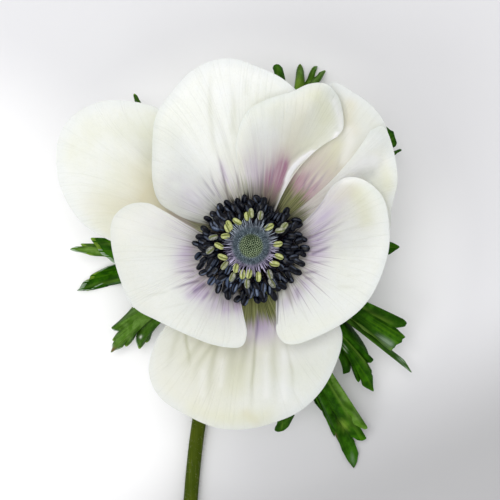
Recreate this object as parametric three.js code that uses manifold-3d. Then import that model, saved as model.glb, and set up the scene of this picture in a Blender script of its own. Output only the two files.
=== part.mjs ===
import * as THREE from "three";
import Module from "manifold-3d";

// Anemone flower lying on its back, in millimetres: the face of the bloom looks up (+Z), the
// stem leaves it downwards, bends and lies along -Y. Modelled round the flower's own axis first,
// then moved so that the box of the whole part stands centred on the origin.

const wasm = await Module();
wasm.setup();

const petalThickness = 0.7;
const leafThickness = 0.7;
const stemRadius = 1.8;
const receptacleRadius = 4.6;
const receptacleTop = 27.5;
const clawRadius = 4.9;
const clawHalfWidth = 2.3;
const clawHeights = [23.8, 24.95, 26.1];
const bendTop = 13;
const bendHeading = 249;
const whorlHeight = 15;
const whorlInner = 2.15;
const whorlOuter = 6.2;
const leafRoot = 4.8;
const flatHeight = leafThickness / 2;
const lobeSwell = 0.09;
const darkRingInner = 4.9;
const darkRingOuter = 6.3;
const yellowRingInner = 3.6;
const yellowRingOuter = 4.5;
const pistilRadius = 4.2;
const pistilCentre = 32;

// Each petal: heading of its claw, which of the three overlapping tiers it sits in, how far its
// rim climbs and the reach at which it has climbed that far, how wide the sides set off, and the
// outline of the rim as seen from above, clockwise.
const petals = [
  {
    name: "petal_upper_left",
    heading: 151,
    tier: 0,
    rise: 10,
    reach: 50,
    sides: [38, 40],
    rim: [
      [-30.4, 0], [-34.5, 1.7], [-39.9, 5.2], [-44, 10.9], [-46.1, 17.3], [-45.8, 25.2],
      [-42.3, 30.9], [-35.2, 34.5], [-26.2, 34.1], [-20.8, 31.8], [-17.7, 26.4],
    ],
    cup: 1,
    wave: [0.5, 2.5, 0.4],
    folds: [[0.55, 0.14, -0.9, 0.35]],
  },
  {
    name: "petal_back_right",
    heading: 48,
    tier: 0,
    rise: 12,
    reach: 43,
    sides: [35, 25],
    rim: [
      [12.4, 29.8], [15, 35.4], [19.4, 38.4], [23.9, 36.2], [28.4, 32.9], [31.5, 28.7],
      [32.5, 23.5], [31.1, 18.5],
    ],
    cup: 0.3,
    wave: [0.3, 2, 1],
    folds: [[0.3, 0.2, -0.5, 0.4]],
  },
  {
    name: "petal_bottom",
    heading: -91,
    tier: 0,
    rise: 10,
    reach: 44,
    sides: [50, 52],
    rim: [
      [19.7, -15.8], [21.8, -21.3], [20.5, -27.5], [16.9, -34.3], [11.7, -39.3], [5.2, -42.1],
      [-1.2, -43.5], [-7.8, -43.3], [-14.5, -40.7], [-21.4, -36.2], [-24.3, -30],
      [-22.7, -22.7], [-19, -17.3],
    ],
    cup: 0.6,
    wave: [0.4, 3, 2],
    folds: [
      [-0.5, 0.06, -0.6, 0.35], [-0.3, 0.06, -0.7, 0.35], [-0.08, 0.06, -0.6, 0.35],
      [0.12, 0.06, -0.7, 0.35], [0.32, 0.06, -0.7, 0.35], [0.52, 0.06, -0.6, 0.35],
    ],
  },
  {
    name: "petal_top",
    heading: 103,
    tier: 1,
    rise: 13,
    reach: 44,
    sides: [72, 35],
    rim: [
      [-18, 7.7], [-21.8, 10.3], [-23.4, 14.8], [-23.5, 21.6], [-22.7, 30.3], [-18.9, 36.2],
      [-13, 42], [-5.7, 44.3], [1.2, 42.5], [7.8, 39.3], [12.3, 34.6], [13.8, 28.8],
    ],
    cup: 0.8,
    wave: [0.5, 3, 0.5],
    folds: [[-0.02, 0.07, -0.8, 0.3], [0.26, 0.08, -0.6, 0.45], [-0.35, 0.1, -0.4, 0.5]],
  },
  {
    name: "petal_side_right",
    heading: 24,
    tier: 1,
    rise: 16,
    reach: 39,
    sides: [-12, 30],
    rim: [
      [23.7, 18.7], [25.9, 23.8], [27.7, 27], [31.2, 27.9], [33.5, 22.5], [34.5, 15.5],
      [33.2, 9.2], [32.6, 3.3], [29.6, -1],
    ],
    cup: 0.4,
    wave: [0.3, 2, 0],
    folds: [[0.1, 0.2, -0.5, 0.45]],
  },
  {
    name: "petal_left",
    heading: 205,
    tier: 1,
    rise: 17,
    reach: 33.5,
    sides: [62, 45],
    rim: [
      [-1.7, -17.2], [-1, -20.9], [-2.6, -23.9], [-8.3, -23.5], [-14.4, -21.3],
      [-21.9, -17.7], [-27.7, -14.1], [-31, -7.1], [-32.8, 0.4], [-32.4, 6.3], [-28.9, 9.6],
      [-24.3, 10.1], [-20.4, 8.1],
    ],
    cup: 1.4,
    wave: [0.4, 3, 1.5],
    folds: [[0.15, 0.12, -0.4, 0.4], [-0.3, 0.1, -0.4, 0.4]],
  },
  {
    name: "petal_upper_right",
    heading: 66,
    tier: 2,
    rise: 15,
    reach: 40.5,
    sides: [42, 0],
    rim: [
      [-3.1, 18.6], [-3.6, 24.7], [-1.2, 31.4], [3.8, 34.6], [9.4, 36.2], [13.6, 38],
      [17.6, 38], [20.4, 35.2], [21.6, 31.3], [21.7, 27.8], [20.3, 25.7],
    ],
    margin: [[7.2, 14.4], [13.6, 21.2]],
    cup: 0.6,
    wave: [0.4, 2, 0.6],
    folds: [[0.42, 0.15, -1.4, 0.4]],
    lip: 1.3,
  },
  {
    name: "petal_right",
    heading: -12,
    tier: 2,
    rise: 17,
    reach: 33,
    sides: [42, 62],
    rim: [
      [17.1, 10.9], [19.4, 14.4], [22.8, 16.2], [27, 15.2], [31.1, 11], [32.5, 3.7],
      [31.8, -3.3], [28.1, -12], [22.1, -17.9], [13.7, -22.2], [8.7, -23.2], [6.2, -20.9],
      [6, -17.4],
    ],
    cup: 1.4,
    wave: [0.35, 3, 0.8],
    folds: [[-0.1, 0.12, -0.4, 0.4], [0.4, 0.1, -0.4, 0.4]],
  },
];

// Each leaf of the involucre: the arc of the whorl that it springs from, and its toothed lobes.
// A lobe has a heading, the height of its tip, how far it arches, and its outline from above,
// clockwise. The lobes whose tip height is flatHeight lie flat on the ground.
const leaves = [
  {
    name: "leaf_left",
    arc: [118, 238],
    lobes: [
      {
        heading: 130, tip: 8, arch: 1.5, keel: 0.4,
        rim: [
          [-29.8, 33.3], [-29.3, 36], [-28.9, 38], [-27.8, 37.2], [-27, 35], [-25.8, 32.8],
        ],
      },
      {
        heading: 176, tip: 13, arch: 1, keel: 0.8,
        rim: [
          [-33.7, -3.7], [-35.9, -2.2], [-37.9, 0], [-39.4, 1.9], [-37.6, 1.6], [-35.4, 0.8],
          [-33.9, -1.5],
        ],
      },
      {
        heading: 184, tip: 9, arch: 1, keel: 0.4,
        rim: [
          [-34.9, -2.9], [-38.4, -2.1], [-41.3, -1.5], [-44.6, -0.8], [-42.8, -0.1],
          [-41.1, -0.3], [-41.8, 0.5], [-40.1, 0.2], [-37.9, -0.2], [-34.9, -0.7],
        ],
      },
      {
        heading: 196, tip: flatHeight, arch: 2.5, keel: 0.5,
        rim: [
          [-33.4, -7.7], [-37.1, -9], [-40.2, -10.5], [-41.2, -11.1], [-43.5, -11.1],
          [-42.3, -9], [-40.4, -8.2], [-40.5, -7.6], [-38.4, -6.2], [-34.9, -4.7],
        ],
      },
      {
        heading: 218, tip: 5, arch: 2, keel: 0.5,
        rim: [
          [-23.2, -18.4], [-24.7, -22.4], [-25.9, -23.9], [-26.7, -23.9], [-27.7, -25.3],
          [-28.5, -23.4], [-28.5, -21.4], [-29.9, -23.6], [-31, -24.8], [-31.6, -24.1],
          [-32.9, -25.5], [-34.5, -26.1], [-34.1, -23.6], [-32.6, -21], [-34.6, -20.4],
          [-32.4, -18.7], [-29.4, -15.7],
        ],
      },
    ],
  },
  {
    name: "leaf_lower",
    arc: [272, 342],
    lobes: [
      {
        heading: 281, tip: 7, arch: 1.5, keel: 0.4,
        rim: [
          [10.7, -40.7], [9.7, -43.7], [8.2, -45.4], [6.2, -45.9], [5.7, -44.2], [6.5, -41.9],
        ],
      },
      {
        heading: 293, tip: flatHeight, arch: 3, keel: 0.5,
        rim: [
          [25.4, -43.6], [26.9, -46.2], [28.8, -48.3], [27.4, -48.7], [25.4, -47.7],
          [26.6, -49.9], [27, -51.9], [25.9, -55.4], [24.1, -53.7], [23.4, -51.2],
          [21.9, -47.9], [20.8, -44.6], [19.6, -42.9], [17.3, -40.9], [15.8, -38.9],
        ],
      },
      {
        heading: 302, tip: 5, arch: 1.5, keel: 0.3,
        rim: [
          [20.2, -33.6], [22.7, -37.8], [25.4, -40.6], [27.9, -43.3], [28.9, -45.3],
          [27.4, -45.6], [25.4, -43.6], [22.7, -41.8], [19.7, -39.6],
        ],
      },
      {
        heading: 312, tip: 7, arch: 2, keel: 0.6,
        rim: [
          [24.1, -18.8], [26.1, -21.6], [27.8, -24.3], [29.1, -27], [30.3, -28],
          [28.6, -28.8], [29.8, -31], [30.6, -36], [28.3, -35], [27.3, -32.8],
          [26.8, -33.7], [25.3, -31.5], [24.8, -29.3], [24.4, -31], [23.1, -31.5],
          [22.4, -27.8], [22.9, -23.3],
        ],
      },
      {
        heading: 322, tip: 8, arch: 1, keel: 0.2,
        rim: [
          [28, -19.8], [31, -22.3], [35.2, -25.9], [38.2, -28.7], [39.8, -31.3],
          [36.7, -28.7], [33.5, -26], [30.3, -23.3], [27, -21.5],
        ],
      },
      {
        heading: 331, tip: 12, arch: 1.5, keel: 0.6,
        rim: [
          [26.9, -15.9], [30.6, -16.5], [34.3, -17.5], [37, -18], [38.4, -18.9],
          [37.2, -19.8], [35.7, -20.2], [38, -22.4], [37.2, -23.9], [35.7, -24.4],
          [34.7, -25.7], [32.5, -23.4], [29.6, -20.7], [26.4, -19.7],
        ],
      },
    ],
  },
  {
    name: "leaf_upper",
    arc: [-3, 92],
    lobes: [
      {
        heading: 8, tip: 9, arch: 1.5, keel: 0.4,
        rim: [[32.9, 2], [35.2, 0.8], [36.8, -0.5], [34.9, -1.7], [32.9, -2.7]],
      },
      {
        heading: 38, tip: 8, arch: 1.5, keel: 0.5,
        rim: [
          [32, 31.8], [33.7, 29.8], [35.1, 28.4], [34.9, 27.1], [36.1, 26.1], [35.5, 24.6],
          [37.2, 24.1], [35.7, 22.8], [34, 19.9],
        ],
      },
      {
        heading: 68, tip: flatHeight, arch: 2.5, keel: 0.5,
        rim: [
          [10.1, 37.7], [11.1, 40], [11.6, 43], [12.2, 45.7], [13.1, 43.7], [13.6, 41.2],
          [14.6, 43.2], [15.6, 45], [16.8, 45.2], [15.8, 43.5], [16, 42.2], [17.3, 43.5],
          [18.6, 44], [17.6, 42], [17.8, 38.7],
        ],
      },
      {
        heading: 82, tip: 9, arch: 1.5, keel: 0.4,
        rim: [[4.5, 40.4], [5.2, 43.1], [6.2, 44.7], [7.4, 43.7], [8.2, 41.4], [8.2, 38.2]],
      },
    ],
  },
];

// The stem's course on the ground, seen from above, from the foot of the bend to the cut end.
const stemCourse = [
  [-9.4, -25], [-13.1, -44.8], [-15.1, -63.6], [-16.6, -90], [-16.4, -120], [-13.5, -152],
];

const degrees = Math.PI / 180;

function heading(angle) {
  return new THREE.Vector2(Math.cos(angle * degrees), Math.sin(angle * degrees));
}

function smooth(from, to, value) {
  const t = Math.min(1, Math.max(0, (value - from) / (to - from)));
  return t * t * (3 - 2 * t);
}

function seededRandom(seed) {
  let state = seed;
  return () => {
    state = (state * 1664525 + 1013904223) % 4294967296;
    return state / 4294967296;
  };
}

function toSolid(geometry) {
  const points = geometry.getAttribute("position").array;
  const mesh = new wasm.Mesh({
    numProp: 3,
    vertProperties: new Float32Array(points),
    triVerts: new Uint32Array(geometry.index.array),
  });
  return new wasm.Manifold(mesh);
}

// The outer skin of a solid, with any hollow closed in between crossing lobes filled.
function toGeometry(solid) {
  const shells = solid.decompose().sort((a, b) => b.volume() - a.volume());
  const mesh = shells[0].getMesh();
  const geometry = new THREE.BufferGeometry();
  const positions = new Float32Array(mesh.numVert * 3);
  for (let i = 0; i < mesh.numVert; i++) {
    const start = i * mesh.numProp;
    positions.set(mesh.vertProperties.subarray(start, start + 3), i * 3);
  }
  geometry.setAttribute("position", new THREE.BufferAttribute(positions, 3));
  geometry.setIndex(new THREE.BufferAttribute(new Uint32Array(mesh.triVerts), 1));
  return geometry;
}

function indexed(points, triangles) {
  const geometry = new THREE.BufferGeometry();
  const flat = points.flatMap((point) => [point.x, point.y, point.z]);
  geometry.setAttribute("position", new THREE.Float32BufferAttribute(flat, 3));
  geometry.setIndex(triangles);
  return geometry;
}

// A point and its tangent at share s (0 to 1) of the length of a smooth line through points.
function alongLine(points, s) {
  const lengths = [0];
  for (let i = 1; i < points.length; i++) {
    const step = Math.hypot(
      points[i][0] - points[i - 1][0],
      points[i][1] - points[i - 1][1],
    );
    lengths.push(lengths[i - 1] + step);
  }
  const last = points.length - 1;
  const distance = s * lengths[last];
  let i = 0;
  while (i < last - 1 && lengths[i + 1] < distance) i++;
  const t = (distance - lengths[i]) / (lengths[i + 1] - lengths[i]);
  const position = [];
  const tangent = [];
  for (const k of [0, 1]) {
    const b = points[i][k];
    const c = points[i + 1][k];
    const a = i > 0 ? points[i - 1][k] : 2 * b - c;
    const d = i + 2 <= last ? points[i + 2][k] : 2 * c - b;
    const slope = c - a;
    const bend = 2 * a - 5 * b + 4 * c - d;
    const twist = 3 * b - a - 3 * c + d;
    position.push(0.5 * (2 * b + slope * t + bend * t * t + twist * t * t * t));
    tangent.push(0.5 * (slope + 2 * bend * t + 3 * twist * t * t));
  }
  return {
    position: new THREE.Vector2(...position),
    tangent: new THREE.Vector2(...tangent).normalize(),
  };
}

// A closed blade from a grid of points on its middle surface: rows[i][j] runs across by i and
// from root to rim by j. Both faces are split into triangles alike. What lies at the height
// groundedAt is level above and below.
function bladeGeometry(rows, thickness, groundedAt) {
  const across = rows.length;
  const along = rows[0].length;
  const middle = rows.flat();
  const facing = [];
  const at = (i, j) => i * along + j;
  for (let i = 0; i < across - 1; i++) {
    for (let j = 0; j < along - 1; j++) {
      const [a, b, c, d] = [at(i, j), at(i, j + 1), at(i + 1, j + 1), at(i + 1, j)];
      if ((i + j) % 2) facing.push(a, b, c, a, c, d);
      else facing.push(a, b, d, b, c, d);
    }
  }
  const surface = indexed(middle, facing);
  surface.computeVertexNormals();
  const normals = surface.getAttribute("normal");
  const points = [];
  for (const side of [0.5, -0.5]) {
    middle.forEach((point, i) => {
      const normal = new THREE.Vector3().fromBufferAttribute(normals, i);
      if (point.z === groundedAt) normal.set(0, 0, 1);
      points.push(point.clone().addScaledVector(normal, side * thickness));
    });
  }
  const count = middle.length;
  const triangles = [...facing];
  for (let i = 0; i < facing.length; i += 3) {
    triangles.push(facing[i] + count, facing[i + 2] + count, facing[i + 1] + count);
  }
  const edge = [];
  for (let j = 0; j < along - 1; j++) edge.push(at(0, j));
  for (let i = 0; i < across - 1; i++) edge.push(at(i, along - 1));
  for (let j = along - 1; j > 0; j--) edge.push(at(across - 1, j));
  for (let i = across - 1; i > 0; i--) edge.push(at(i, 0));
  edge.forEach((a, i) => {
    const b = edge[(i + 1) % edge.length];
    triangles.push(b, a, a + count, b, a + count, b + count);
  });
  return indexed(points, triangles);
}

function petalHeight(petal, x, y) {
  const t = Math.max(0, (Math.hypot(x, y) - clawRadius) / (petal.reach - clawRadius));
  return clawHeights[petal.tier] + petal.rise * t ** 1.6 * (1.25 - 0.25 * t ** 3);
}

// Lift of the petal off its bowl: sides cupped, rim waved, lengthwise folds, a turned-up margin.
function petalRelief(petal, u, v) {
  let lift = petal.cup * u * u * v ** 1.5;
  const [height, waves, phase] = petal.wave;
  lift += height * Math.sin(waves * Math.PI * u + phase) * v ** 4;
  for (const [centre, width, depth, start] of petal.folds) {
    const fade = smooth(start, start + 0.3, v) * (1 - 0.6 * smooth(0.85, 1, v));
    lift += depth * Math.exp(-(((u - centre) / width) ** 2)) * fade;
  }
  if (petal.lip) {
    lift += petal.lip * smooth(0.8, 1, u) * Math.sin(Math.PI * v ** 0.7) ** 2;
  }
  return lift;
}

// The vein that runs from the claw at u (-1 to 1, anticlockwise side to clockwise side) to the rim.
function petalVein(petal, u) {
  const out = heading(petal.heading);
  const side = heading(petal.heading - 90);
  const start = out.clone().multiplyScalar(clawRadius).addScaledVector(side, u * clawHalfWidth);
  const rim = alongLine(petal.rim, (u + 1) / 2);
  const turn = Math.abs(u) ** 3;
  const outward = new THREE.Vector2(-rim.tangent.y, rim.tangent.x).multiplyScalar(1 - turn);
  outward.addScaledVector(rim.tangent, -Math.sign(u) * turn).normalize();
  const spread = u > 0 ? u * petal.sides[1] : u * petal.sides[0];
  const length = start.distanceTo(rim.position);
  const first = start.clone().addScaledVector(heading(petal.heading - spread), 0.33 * length);
  const second = rim.position.clone().addScaledVector(outward, -0.25 * length);
  if (petal.margin && u > 0) {
    first.lerp(new THREE.Vector2(...petal.margin[0]), smooth(0, 1, u));
    second.lerp(new THREE.Vector2(...petal.margin[1]), smooth(0, 1, u));
  }
  return new THREE.CubicBezierCurve(start, first, second, rim.position);
}

function buildPetal(petal) {
  const across = petal.folds.length > 4 ? 28 : 18;
  const along = 7;
  const rows = [];
  for (let i = 0; i <= across; i++) {
    const u = (2 * i) / across - 1;
    const vein = petalVein(petal, u);
    const row = [];
    for (let j = 0; j <= along; j++) {
      const v = j / along;
      const point = vein.getPoint(v);
      const z = petalHeight(petal, point.x, point.y) + petalRelief(petal, u, v);
      row.push(new THREE.Vector3(point.x, point.y, z));
    }
    rows.push(row);
  }
  return bladeGeometry(rows, petalThickness);
}

// A lobe of a leaf: it leaves the whorl level, arches and comes down to the height of its tip.
// A lobe that lies on the ground is level over its last part.
function lobeGeometry(lobe) {
  const out = heading(lobe.heading);
  const side = heading(lobe.heading - 90);
  const grounded = lobe.tip === flatHeight;
  const shares = grounded ? [0, 0.2, 0.4, 0.6, 0.82, 1] : [0, 0.25, 0.5, 0.75, 1];
  const landing = grounded ? 0.82 : 1;
  const rows = lobe.rim.map(([x, y], i) => {
    const u = (2 * i) / (lobe.rim.length - 1) - 1;
    const start = out.clone().multiplyScalar(leafRoot).addScaledVector(side, 1.2 * u);
    const end = new THREE.Vector2(x, y);
    const length = start.distanceTo(end);
    const first = start.clone().addScaledVector(out, 0.4 * length);
    const second = end.clone().lerp(start, 0.3);
    first.addScaledVector(side, lobeSwell * u * length);
    second.addScaledVector(side, 0.5 * lobeSwell * u * length);
    const vein = new THREE.CubicBezierCurve(start, first, second, end);
    return shares.map((share) => {
      const point = vein.getPoint(share);
      const t = Math.min(1, share / landing);
      const drop = Math.cos(0.5 * Math.PI * t);
      let z = lobe.tip;
      if (t < 1) {
        z += (whorlHeight - lobe.tip) * drop;
        z += (lobe.arch + lobe.keel * 2 * Math.abs(u)) * Math.sin(Math.PI * t) ** 1.5;
      }
      return new THREE.Vector3(point.x, point.y, z);
    });
  });
  return bladeGeometry(rows, leafThickness, grounded ? flatHeight : undefined);
}

// A block swept round the flower's axis from one heading to another; a full turn closes itself.
function arcGeometry(inner, outer, bottom, top, from, to, steps) {
  const closed = to - from >= 360;
  const points = [];
  const triangles = [];
  const stations = closed ? steps : steps + 1;
  for (let i = 0; i < stations; i++) {
    const along = heading(from + ((to - from) * i) / steps);
    for (const [radius, z] of [[inner, bottom], [outer, bottom], [outer, top], [inner, top]]) {
      points.push(new THREE.Vector3(along.x * radius, along.y * radius, z));
    }
  }
  for (let i = 0; i < steps; i++) {
    const here = 4 * i;
    const next = 4 * ((i + 1) % stations);
    for (let k = 0; k < 4; k++) {
      const [a, b] = [k, (k + 1) % 4];
      triangles.push(here + a, next + a, next + b, here + a, next + b, here + b);
    }
  }
  if (!closed) {
    const end = 4 * steps;
    triangles.push(0, 1, 2, 0, 2, 3, end, end + 2, end + 1, end, end + 3, end + 2);
  }
  return outwards(indexed(points, triangles));
}

// Turns a closed surface's faces to the outside if they face in.
function outwards(geometry) {
  const points = geometry.getAttribute("position");
  const order = geometry.index.array;
  const corner = (i) => new THREE.Vector3().fromBufferAttribute(points, order[i]);
  let volume = 0;
  for (let i = 0; i < order.length; i += 3) {
    volume += corner(i).dot(corner(i + 1).cross(corner(i + 2)));
  }
  if (volume < 0) {
    for (let i = 0; i < order.length; i += 3) {
      [order[i + 1], order[i + 2]] = [order[i + 2], order[i + 1]];
    }
  }
  return geometry;
}

function buildLeaf(leaf) {
  const [from, to] = leaf.arc;
  const steps = Math.round((to - from) / 12);
  const bottom = whorlHeight - 0.8;
  const top = whorlHeight + 0.8;
  let solid = toSolid(arcGeometry(whorlInner, whorlOuter, bottom, top, from, to, steps));
  for (const lobe of leaf.lobes) {
    solid = solid.add(toSolid(lobeGeometry(lobe)));
  }
  return toGeometry(solid);
}

// A solid of rings: each has a centre, two axes across and a radius for either axis.
function ringsGeometry(rings, sides) {
  const points = [];
  const triangles = [];
  for (const ring of rings) {
    for (let k = 0; k < sides; k++) {
      const angle = ((k + 0.5) * 2 * Math.PI) / sides;
      const point = ring.centre.clone();
      point.addScaledVector(ring.down, Math.cos(angle) * ring.radius * (ring.flat ?? 1));
      point.addScaledVector(ring.side, Math.sin(angle) * ring.radius);
      points.push(point);
    }
  }
  for (let i = 0; i < rings.length - 1; i++) {
    for (let k = 0; k < sides; k++) {
      const a = i * sides + k;
      const b = i * sides + ((k + 1) % sides);
      triangles.push(a, b, b + sides, a, b + sides, a + sides);
    }
  }
  const last = (rings.length - 1) * sides;
  for (let k = 1; k < sides - 1; k++) {
    triangles.push(0, k + 1, k, last, last + k, last + k + 1);
  }
  return outwards(indexed(points, triangles));
}

// The stem with the receptacle at its head: straight down, a quarter bend, then along the ground.
function buildStem() {
  const sides = 10;
  const corner = 1 / Math.cos(Math.PI / sides);
  const rings = [];
  const bend = heading(bendHeading);
  const across = new THREE.Vector3(-bend.y, bend.x, 0);
  const bendRadius = bendTop - stemRadius;
  const head = [
    [receptacleTop, 3.7], [receptacleTop - 0.5, receptacleRadius], [25.5, receptacleRadius],
    [23, receptacleRadius], [21.3, 3.6], [19.5, 2.3], [17.5, stemRadius], [14.8, stemRadius],
  ];
  for (const [z, radius] of head) {
    const scale = radius > stemRadius ? 1 : corner;
    rings.push({
      centre: new THREE.Vector3(0, 0, z),
      down: new THREE.Vector3(-bend.x, -bend.y, 0),
      side: across,
      radius: radius * scale,
    });
  }
  const turns = 6;
  for (let i = 0; i <= turns; i++) {
    const angle = (0.5 * Math.PI * i) / turns;
    const reach = bendRadius * (1 - Math.cos(angle));
    const z = bendTop - bendRadius * Math.sin(angle);
    const back = Math.cos(angle);
    rings.push({
      centre: new THREE.Vector3(bend.x * reach, bend.y * reach, z),
      down: new THREE.Vector3(-bend.x * back, -bend.y * back, -Math.sin(angle)),
      side: across,
      radius: stemRadius * corner,
    });
  }
  const foot = rings[rings.length - 1].centre;
  const course = [[foot.x, foot.y], ...stemCourse];
  const pieces = 16;
  for (let i = 1; i <= pieces; i++) {
    const { position, tangent } = alongLine(course, i / pieces);
    rings.push({
      centre: new THREE.Vector3(position.x, position.y, stemRadius),
      down: new THREE.Vector3(0, 0, -1),
      side: new THREE.Vector3(-tangent.y, tangent.x, 0),
      radius: stemRadius * corner,
    });
  }
  return ringsGeometry(rings, sides);
}

// A thin stalk through the given points, thinner towards its far end.
function stalk(points, thick, thin) {
  const rings = points.map((centre, i) => {
    const before = points[Math.max(0, i - 1)];
    const after = points[Math.min(points.length - 1, i + 1)];
    const way = after.clone().sub(before).normalize();
    const side = new THREE.Vector3(-way.y, way.x, 0).normalize();
    const down = way.clone().cross(side).normalize();
    const radius = thick + ((thin - thick) * i) / (points.length - 1);
    return { centre, down, side, radius };
  });
  return toSolid(ringsGeometry(rings, 3));
}

// A stamen: a filament from its root that swells at its end into an anther, a pod pointing
// outwards at the tilt given.
function stamen(angle, root, centre, tilt, length, width) {
  const out = heading(angle);
  const side = new THREE.Vector3(-out.y, out.x, 0);
  const at = (radius, z) => new THREE.Vector3(out.x * radius, out.y * radius, z);
  const reach = 0.5 * length * Math.cos(tilt * degrees);
  const rise = 0.5 * length * Math.sin(tilt * degrees);
  const base = at(centre[0] - reach, centre[1] - rise);
  const end = at(centre[0] + reach, centre[1] + rise);
  const stages = [
    [at(...root), 0.34, base.clone().sub(at(...root))],
    [base, 0.3, end.clone().sub(at(...root))],
    [at(...centre), 0.68 * width, end.clone().sub(base)],
    [end, 0.3 * width, end.clone().sub(base)],
  ];
  const rings = stages.map(([middle, radius, way]) => ({
    centre: middle,
    down: way.clone().normalize().cross(side).normalize(),
    side,
    radius,
    flat: 0.85,
  }));
  return toSolid(ringsGeometry(rings, 4));
}

function buildDarkStamens() {
  const random = seededRandom(11);
  const rows = [
    { radius: 8.4, z: 31.3, root: 5.2, count: 15 },
    { radius: 9.8, z: 31.9, root: 5.45, count: 19 },
    { radius: 11.2, z: 31.5, root: 5.7, count: 22 },
    { radius: 12.3, z: 30.9, root: 5.95, count: 26 },
  ];
  const pieces = [
    toSolid(arcGeometry(darkRingInner, darkRingOuter, 26.85, 28.3, 0, 360, 20)),
  ];
  rows.forEach((row, index) => {
    for (let i = 0; i < row.count; i++) {
      const angle = ((i + 0.5 * (index % 2) + 0.5 * (random() - 0.5)) * 360) / row.count;
      const radius = row.radius + 0.7 * (random() - 0.5);
      const z = row.z + 0.5 * (random() - 0.5);
      const tilt = 12 - 5 * index + 24 * (random() - 0.5);
      pieces.push(stamen(angle, [row.root, 28], [radius, z], tilt, 2.5, 1.2));
    }
  });
  return toGeometry(wasm.Manifold.union(pieces));
}

function buildYellowStamens() {
  const headings = [92, 121, 135, 145, 154, 172, 196, 221, 241, 258, 274, 294, 312, 335, 2, 30];
  const random = seededRandom(5);
  const pieces = [
    toSolid(arcGeometry(yellowRingInner, yellowRingOuter, 27.8, 28.6, 0, 360, 18)),
  ];
  for (const angle of headings) {
    const radius = 7 + 0.5 * random();
    pieces.push(stamen(angle, [4.05, 28.3], [radius, 33.1 + 0.3 * random()], 8, 2.4, 1.1));
  }
  return toGeometry(wasm.Manifold.union(pieces));
}

// The pistil: a round head on a short neck, bristling with styles that curve outwards.
function buildPistil() {
  const profile = [[0, 27.8], [3.1, 27.8], [3.2, 28.9]];
  for (let i = 2; i <= 8; i++) {
    const angle = -90 + (180 * i) / 8;
    const radius = pistilRadius * Math.cos(angle * degrees);
    const z = pistilCentre + 0.85 * pistilRadius * Math.sin(angle * degrees);
    profile.push([i === 8 ? 0 : radius, z]);
  }
  const outline = profile.map(([x, y]) => new THREE.Vector2(x, y));
  const head = new THREE.LatheGeometry(outline, 12);
  head.rotateX(Math.PI / 2);
  const pieces = [toSolid(outwards(weld(head)))];
  const random = seededRandom(3);
  const styles = 50;
  for (let i = 0; i < styles; i++) {
    const height = 0.3 + (0.7 * (i + 0.5)) / styles;
    const turn = i * 137.5;
    const flatness = Math.sqrt(1 - height * height);
    const out = heading(turn);
    const reach = 0.5 + 0.9 * flatness + 0.4 * random();
    const root = new THREE.Vector3(out.x * flatness, out.y * flatness, 0.85 * height);
    root.multiplyScalar(pistilRadius * 0.93);
    root.z += pistilCentre;
    const way = new THREE.Vector3(out.x * flatness, out.y * flatness, height + 0.35);
    way.normalize();
    const tip = root.clone().addScaledVector(way, 0.3 + reach);
    tip.x += 0.35 * reach * out.x * flatness;
    tip.y += 0.35 * reach * out.y * flatness;
    pieces.push(stalk([root, tip], 0.36, 0.14));
  }
  return toGeometry(wasm.Manifold.union(pieces));
}

// Joins the vertices of a lathed surface along its seam and at the axis.
function weld(geometry) {
  const points = geometry.getAttribute("position");
  const seen = new Map();
  const kept = [];
  const numbers = [];
  for (let i = 0; i < points.count; i++) {
    const point = new THREE.Vector3().fromBufferAttribute(points, i);
    const key = point.toArray().map((value) => Math.round(value * 1e4)).join();
    if (!seen.has(key)) {
      seen.set(key, kept.length);
      kept.push(point);
    }
    numbers.push(seen.get(key));
  }
  const triangles = [];
  const order = geometry.index.array;
  for (let i = 0; i < order.length; i += 3) {
    const [a, b, c] = [numbers[order[i]], numbers[order[i + 1]], numbers[order[i + 2]]];
    if (a !== b && b !== c && c !== a) triangles.push(a, b, c);
  }
  return indexed(kept, triangles);
}

const flower = new THREE.Group();

function addPiece(name, geometry, color, roughness) {
  const material = new THREE.MeshStandardMaterial({ color, roughness, metalness: 0 });
  const mesh = new THREE.Mesh(geometry, material);
  mesh.name = name;
  flower.add(mesh);
}

for (const petal of petals) addPiece(petal.name, buildPetal(petal), 0xe9e8dd, 0.7);
for (const leaf of leaves) addPiece(leaf.name, buildLeaf(leaf), 0x2f5c1e, 0.5);
addPiece("stem", buildStem(), 0x5a6a2c, 0.6);
addPiece("pistil", buildPistil(), 0x4d5a74, 0.8);
addPiece("stamens_dark", buildDarkStamens(), 0x141a2e, 0.55);
addPiece("stamens_yellow", buildYellowStamens(), 0xa9ad4a, 0.6);

const box = new THREE.Box3().setFromObject(flower, true);
flower.position.set(-(box.min.x + box.max.x) / 2, -(box.min.y + box.max.y) / 2, -box.min.z);

const part = new THREE.Group();
part.add(flower);

export default part;
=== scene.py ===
import math
import random

import bmesh
import bpy
from mathutils import Matrix, Vector, noise


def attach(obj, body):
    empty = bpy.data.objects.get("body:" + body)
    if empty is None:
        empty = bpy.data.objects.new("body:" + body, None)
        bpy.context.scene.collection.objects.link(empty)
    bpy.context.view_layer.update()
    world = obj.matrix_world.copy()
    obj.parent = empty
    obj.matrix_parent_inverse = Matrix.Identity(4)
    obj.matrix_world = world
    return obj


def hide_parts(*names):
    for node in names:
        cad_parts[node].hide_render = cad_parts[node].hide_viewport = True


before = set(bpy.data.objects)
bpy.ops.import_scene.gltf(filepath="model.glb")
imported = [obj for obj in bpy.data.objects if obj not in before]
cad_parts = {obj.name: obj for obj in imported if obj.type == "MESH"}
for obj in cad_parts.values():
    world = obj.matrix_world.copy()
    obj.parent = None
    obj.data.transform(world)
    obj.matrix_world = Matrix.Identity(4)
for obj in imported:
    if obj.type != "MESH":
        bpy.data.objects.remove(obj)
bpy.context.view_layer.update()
scene = bpy.context.scene

mm = 0.001
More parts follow.
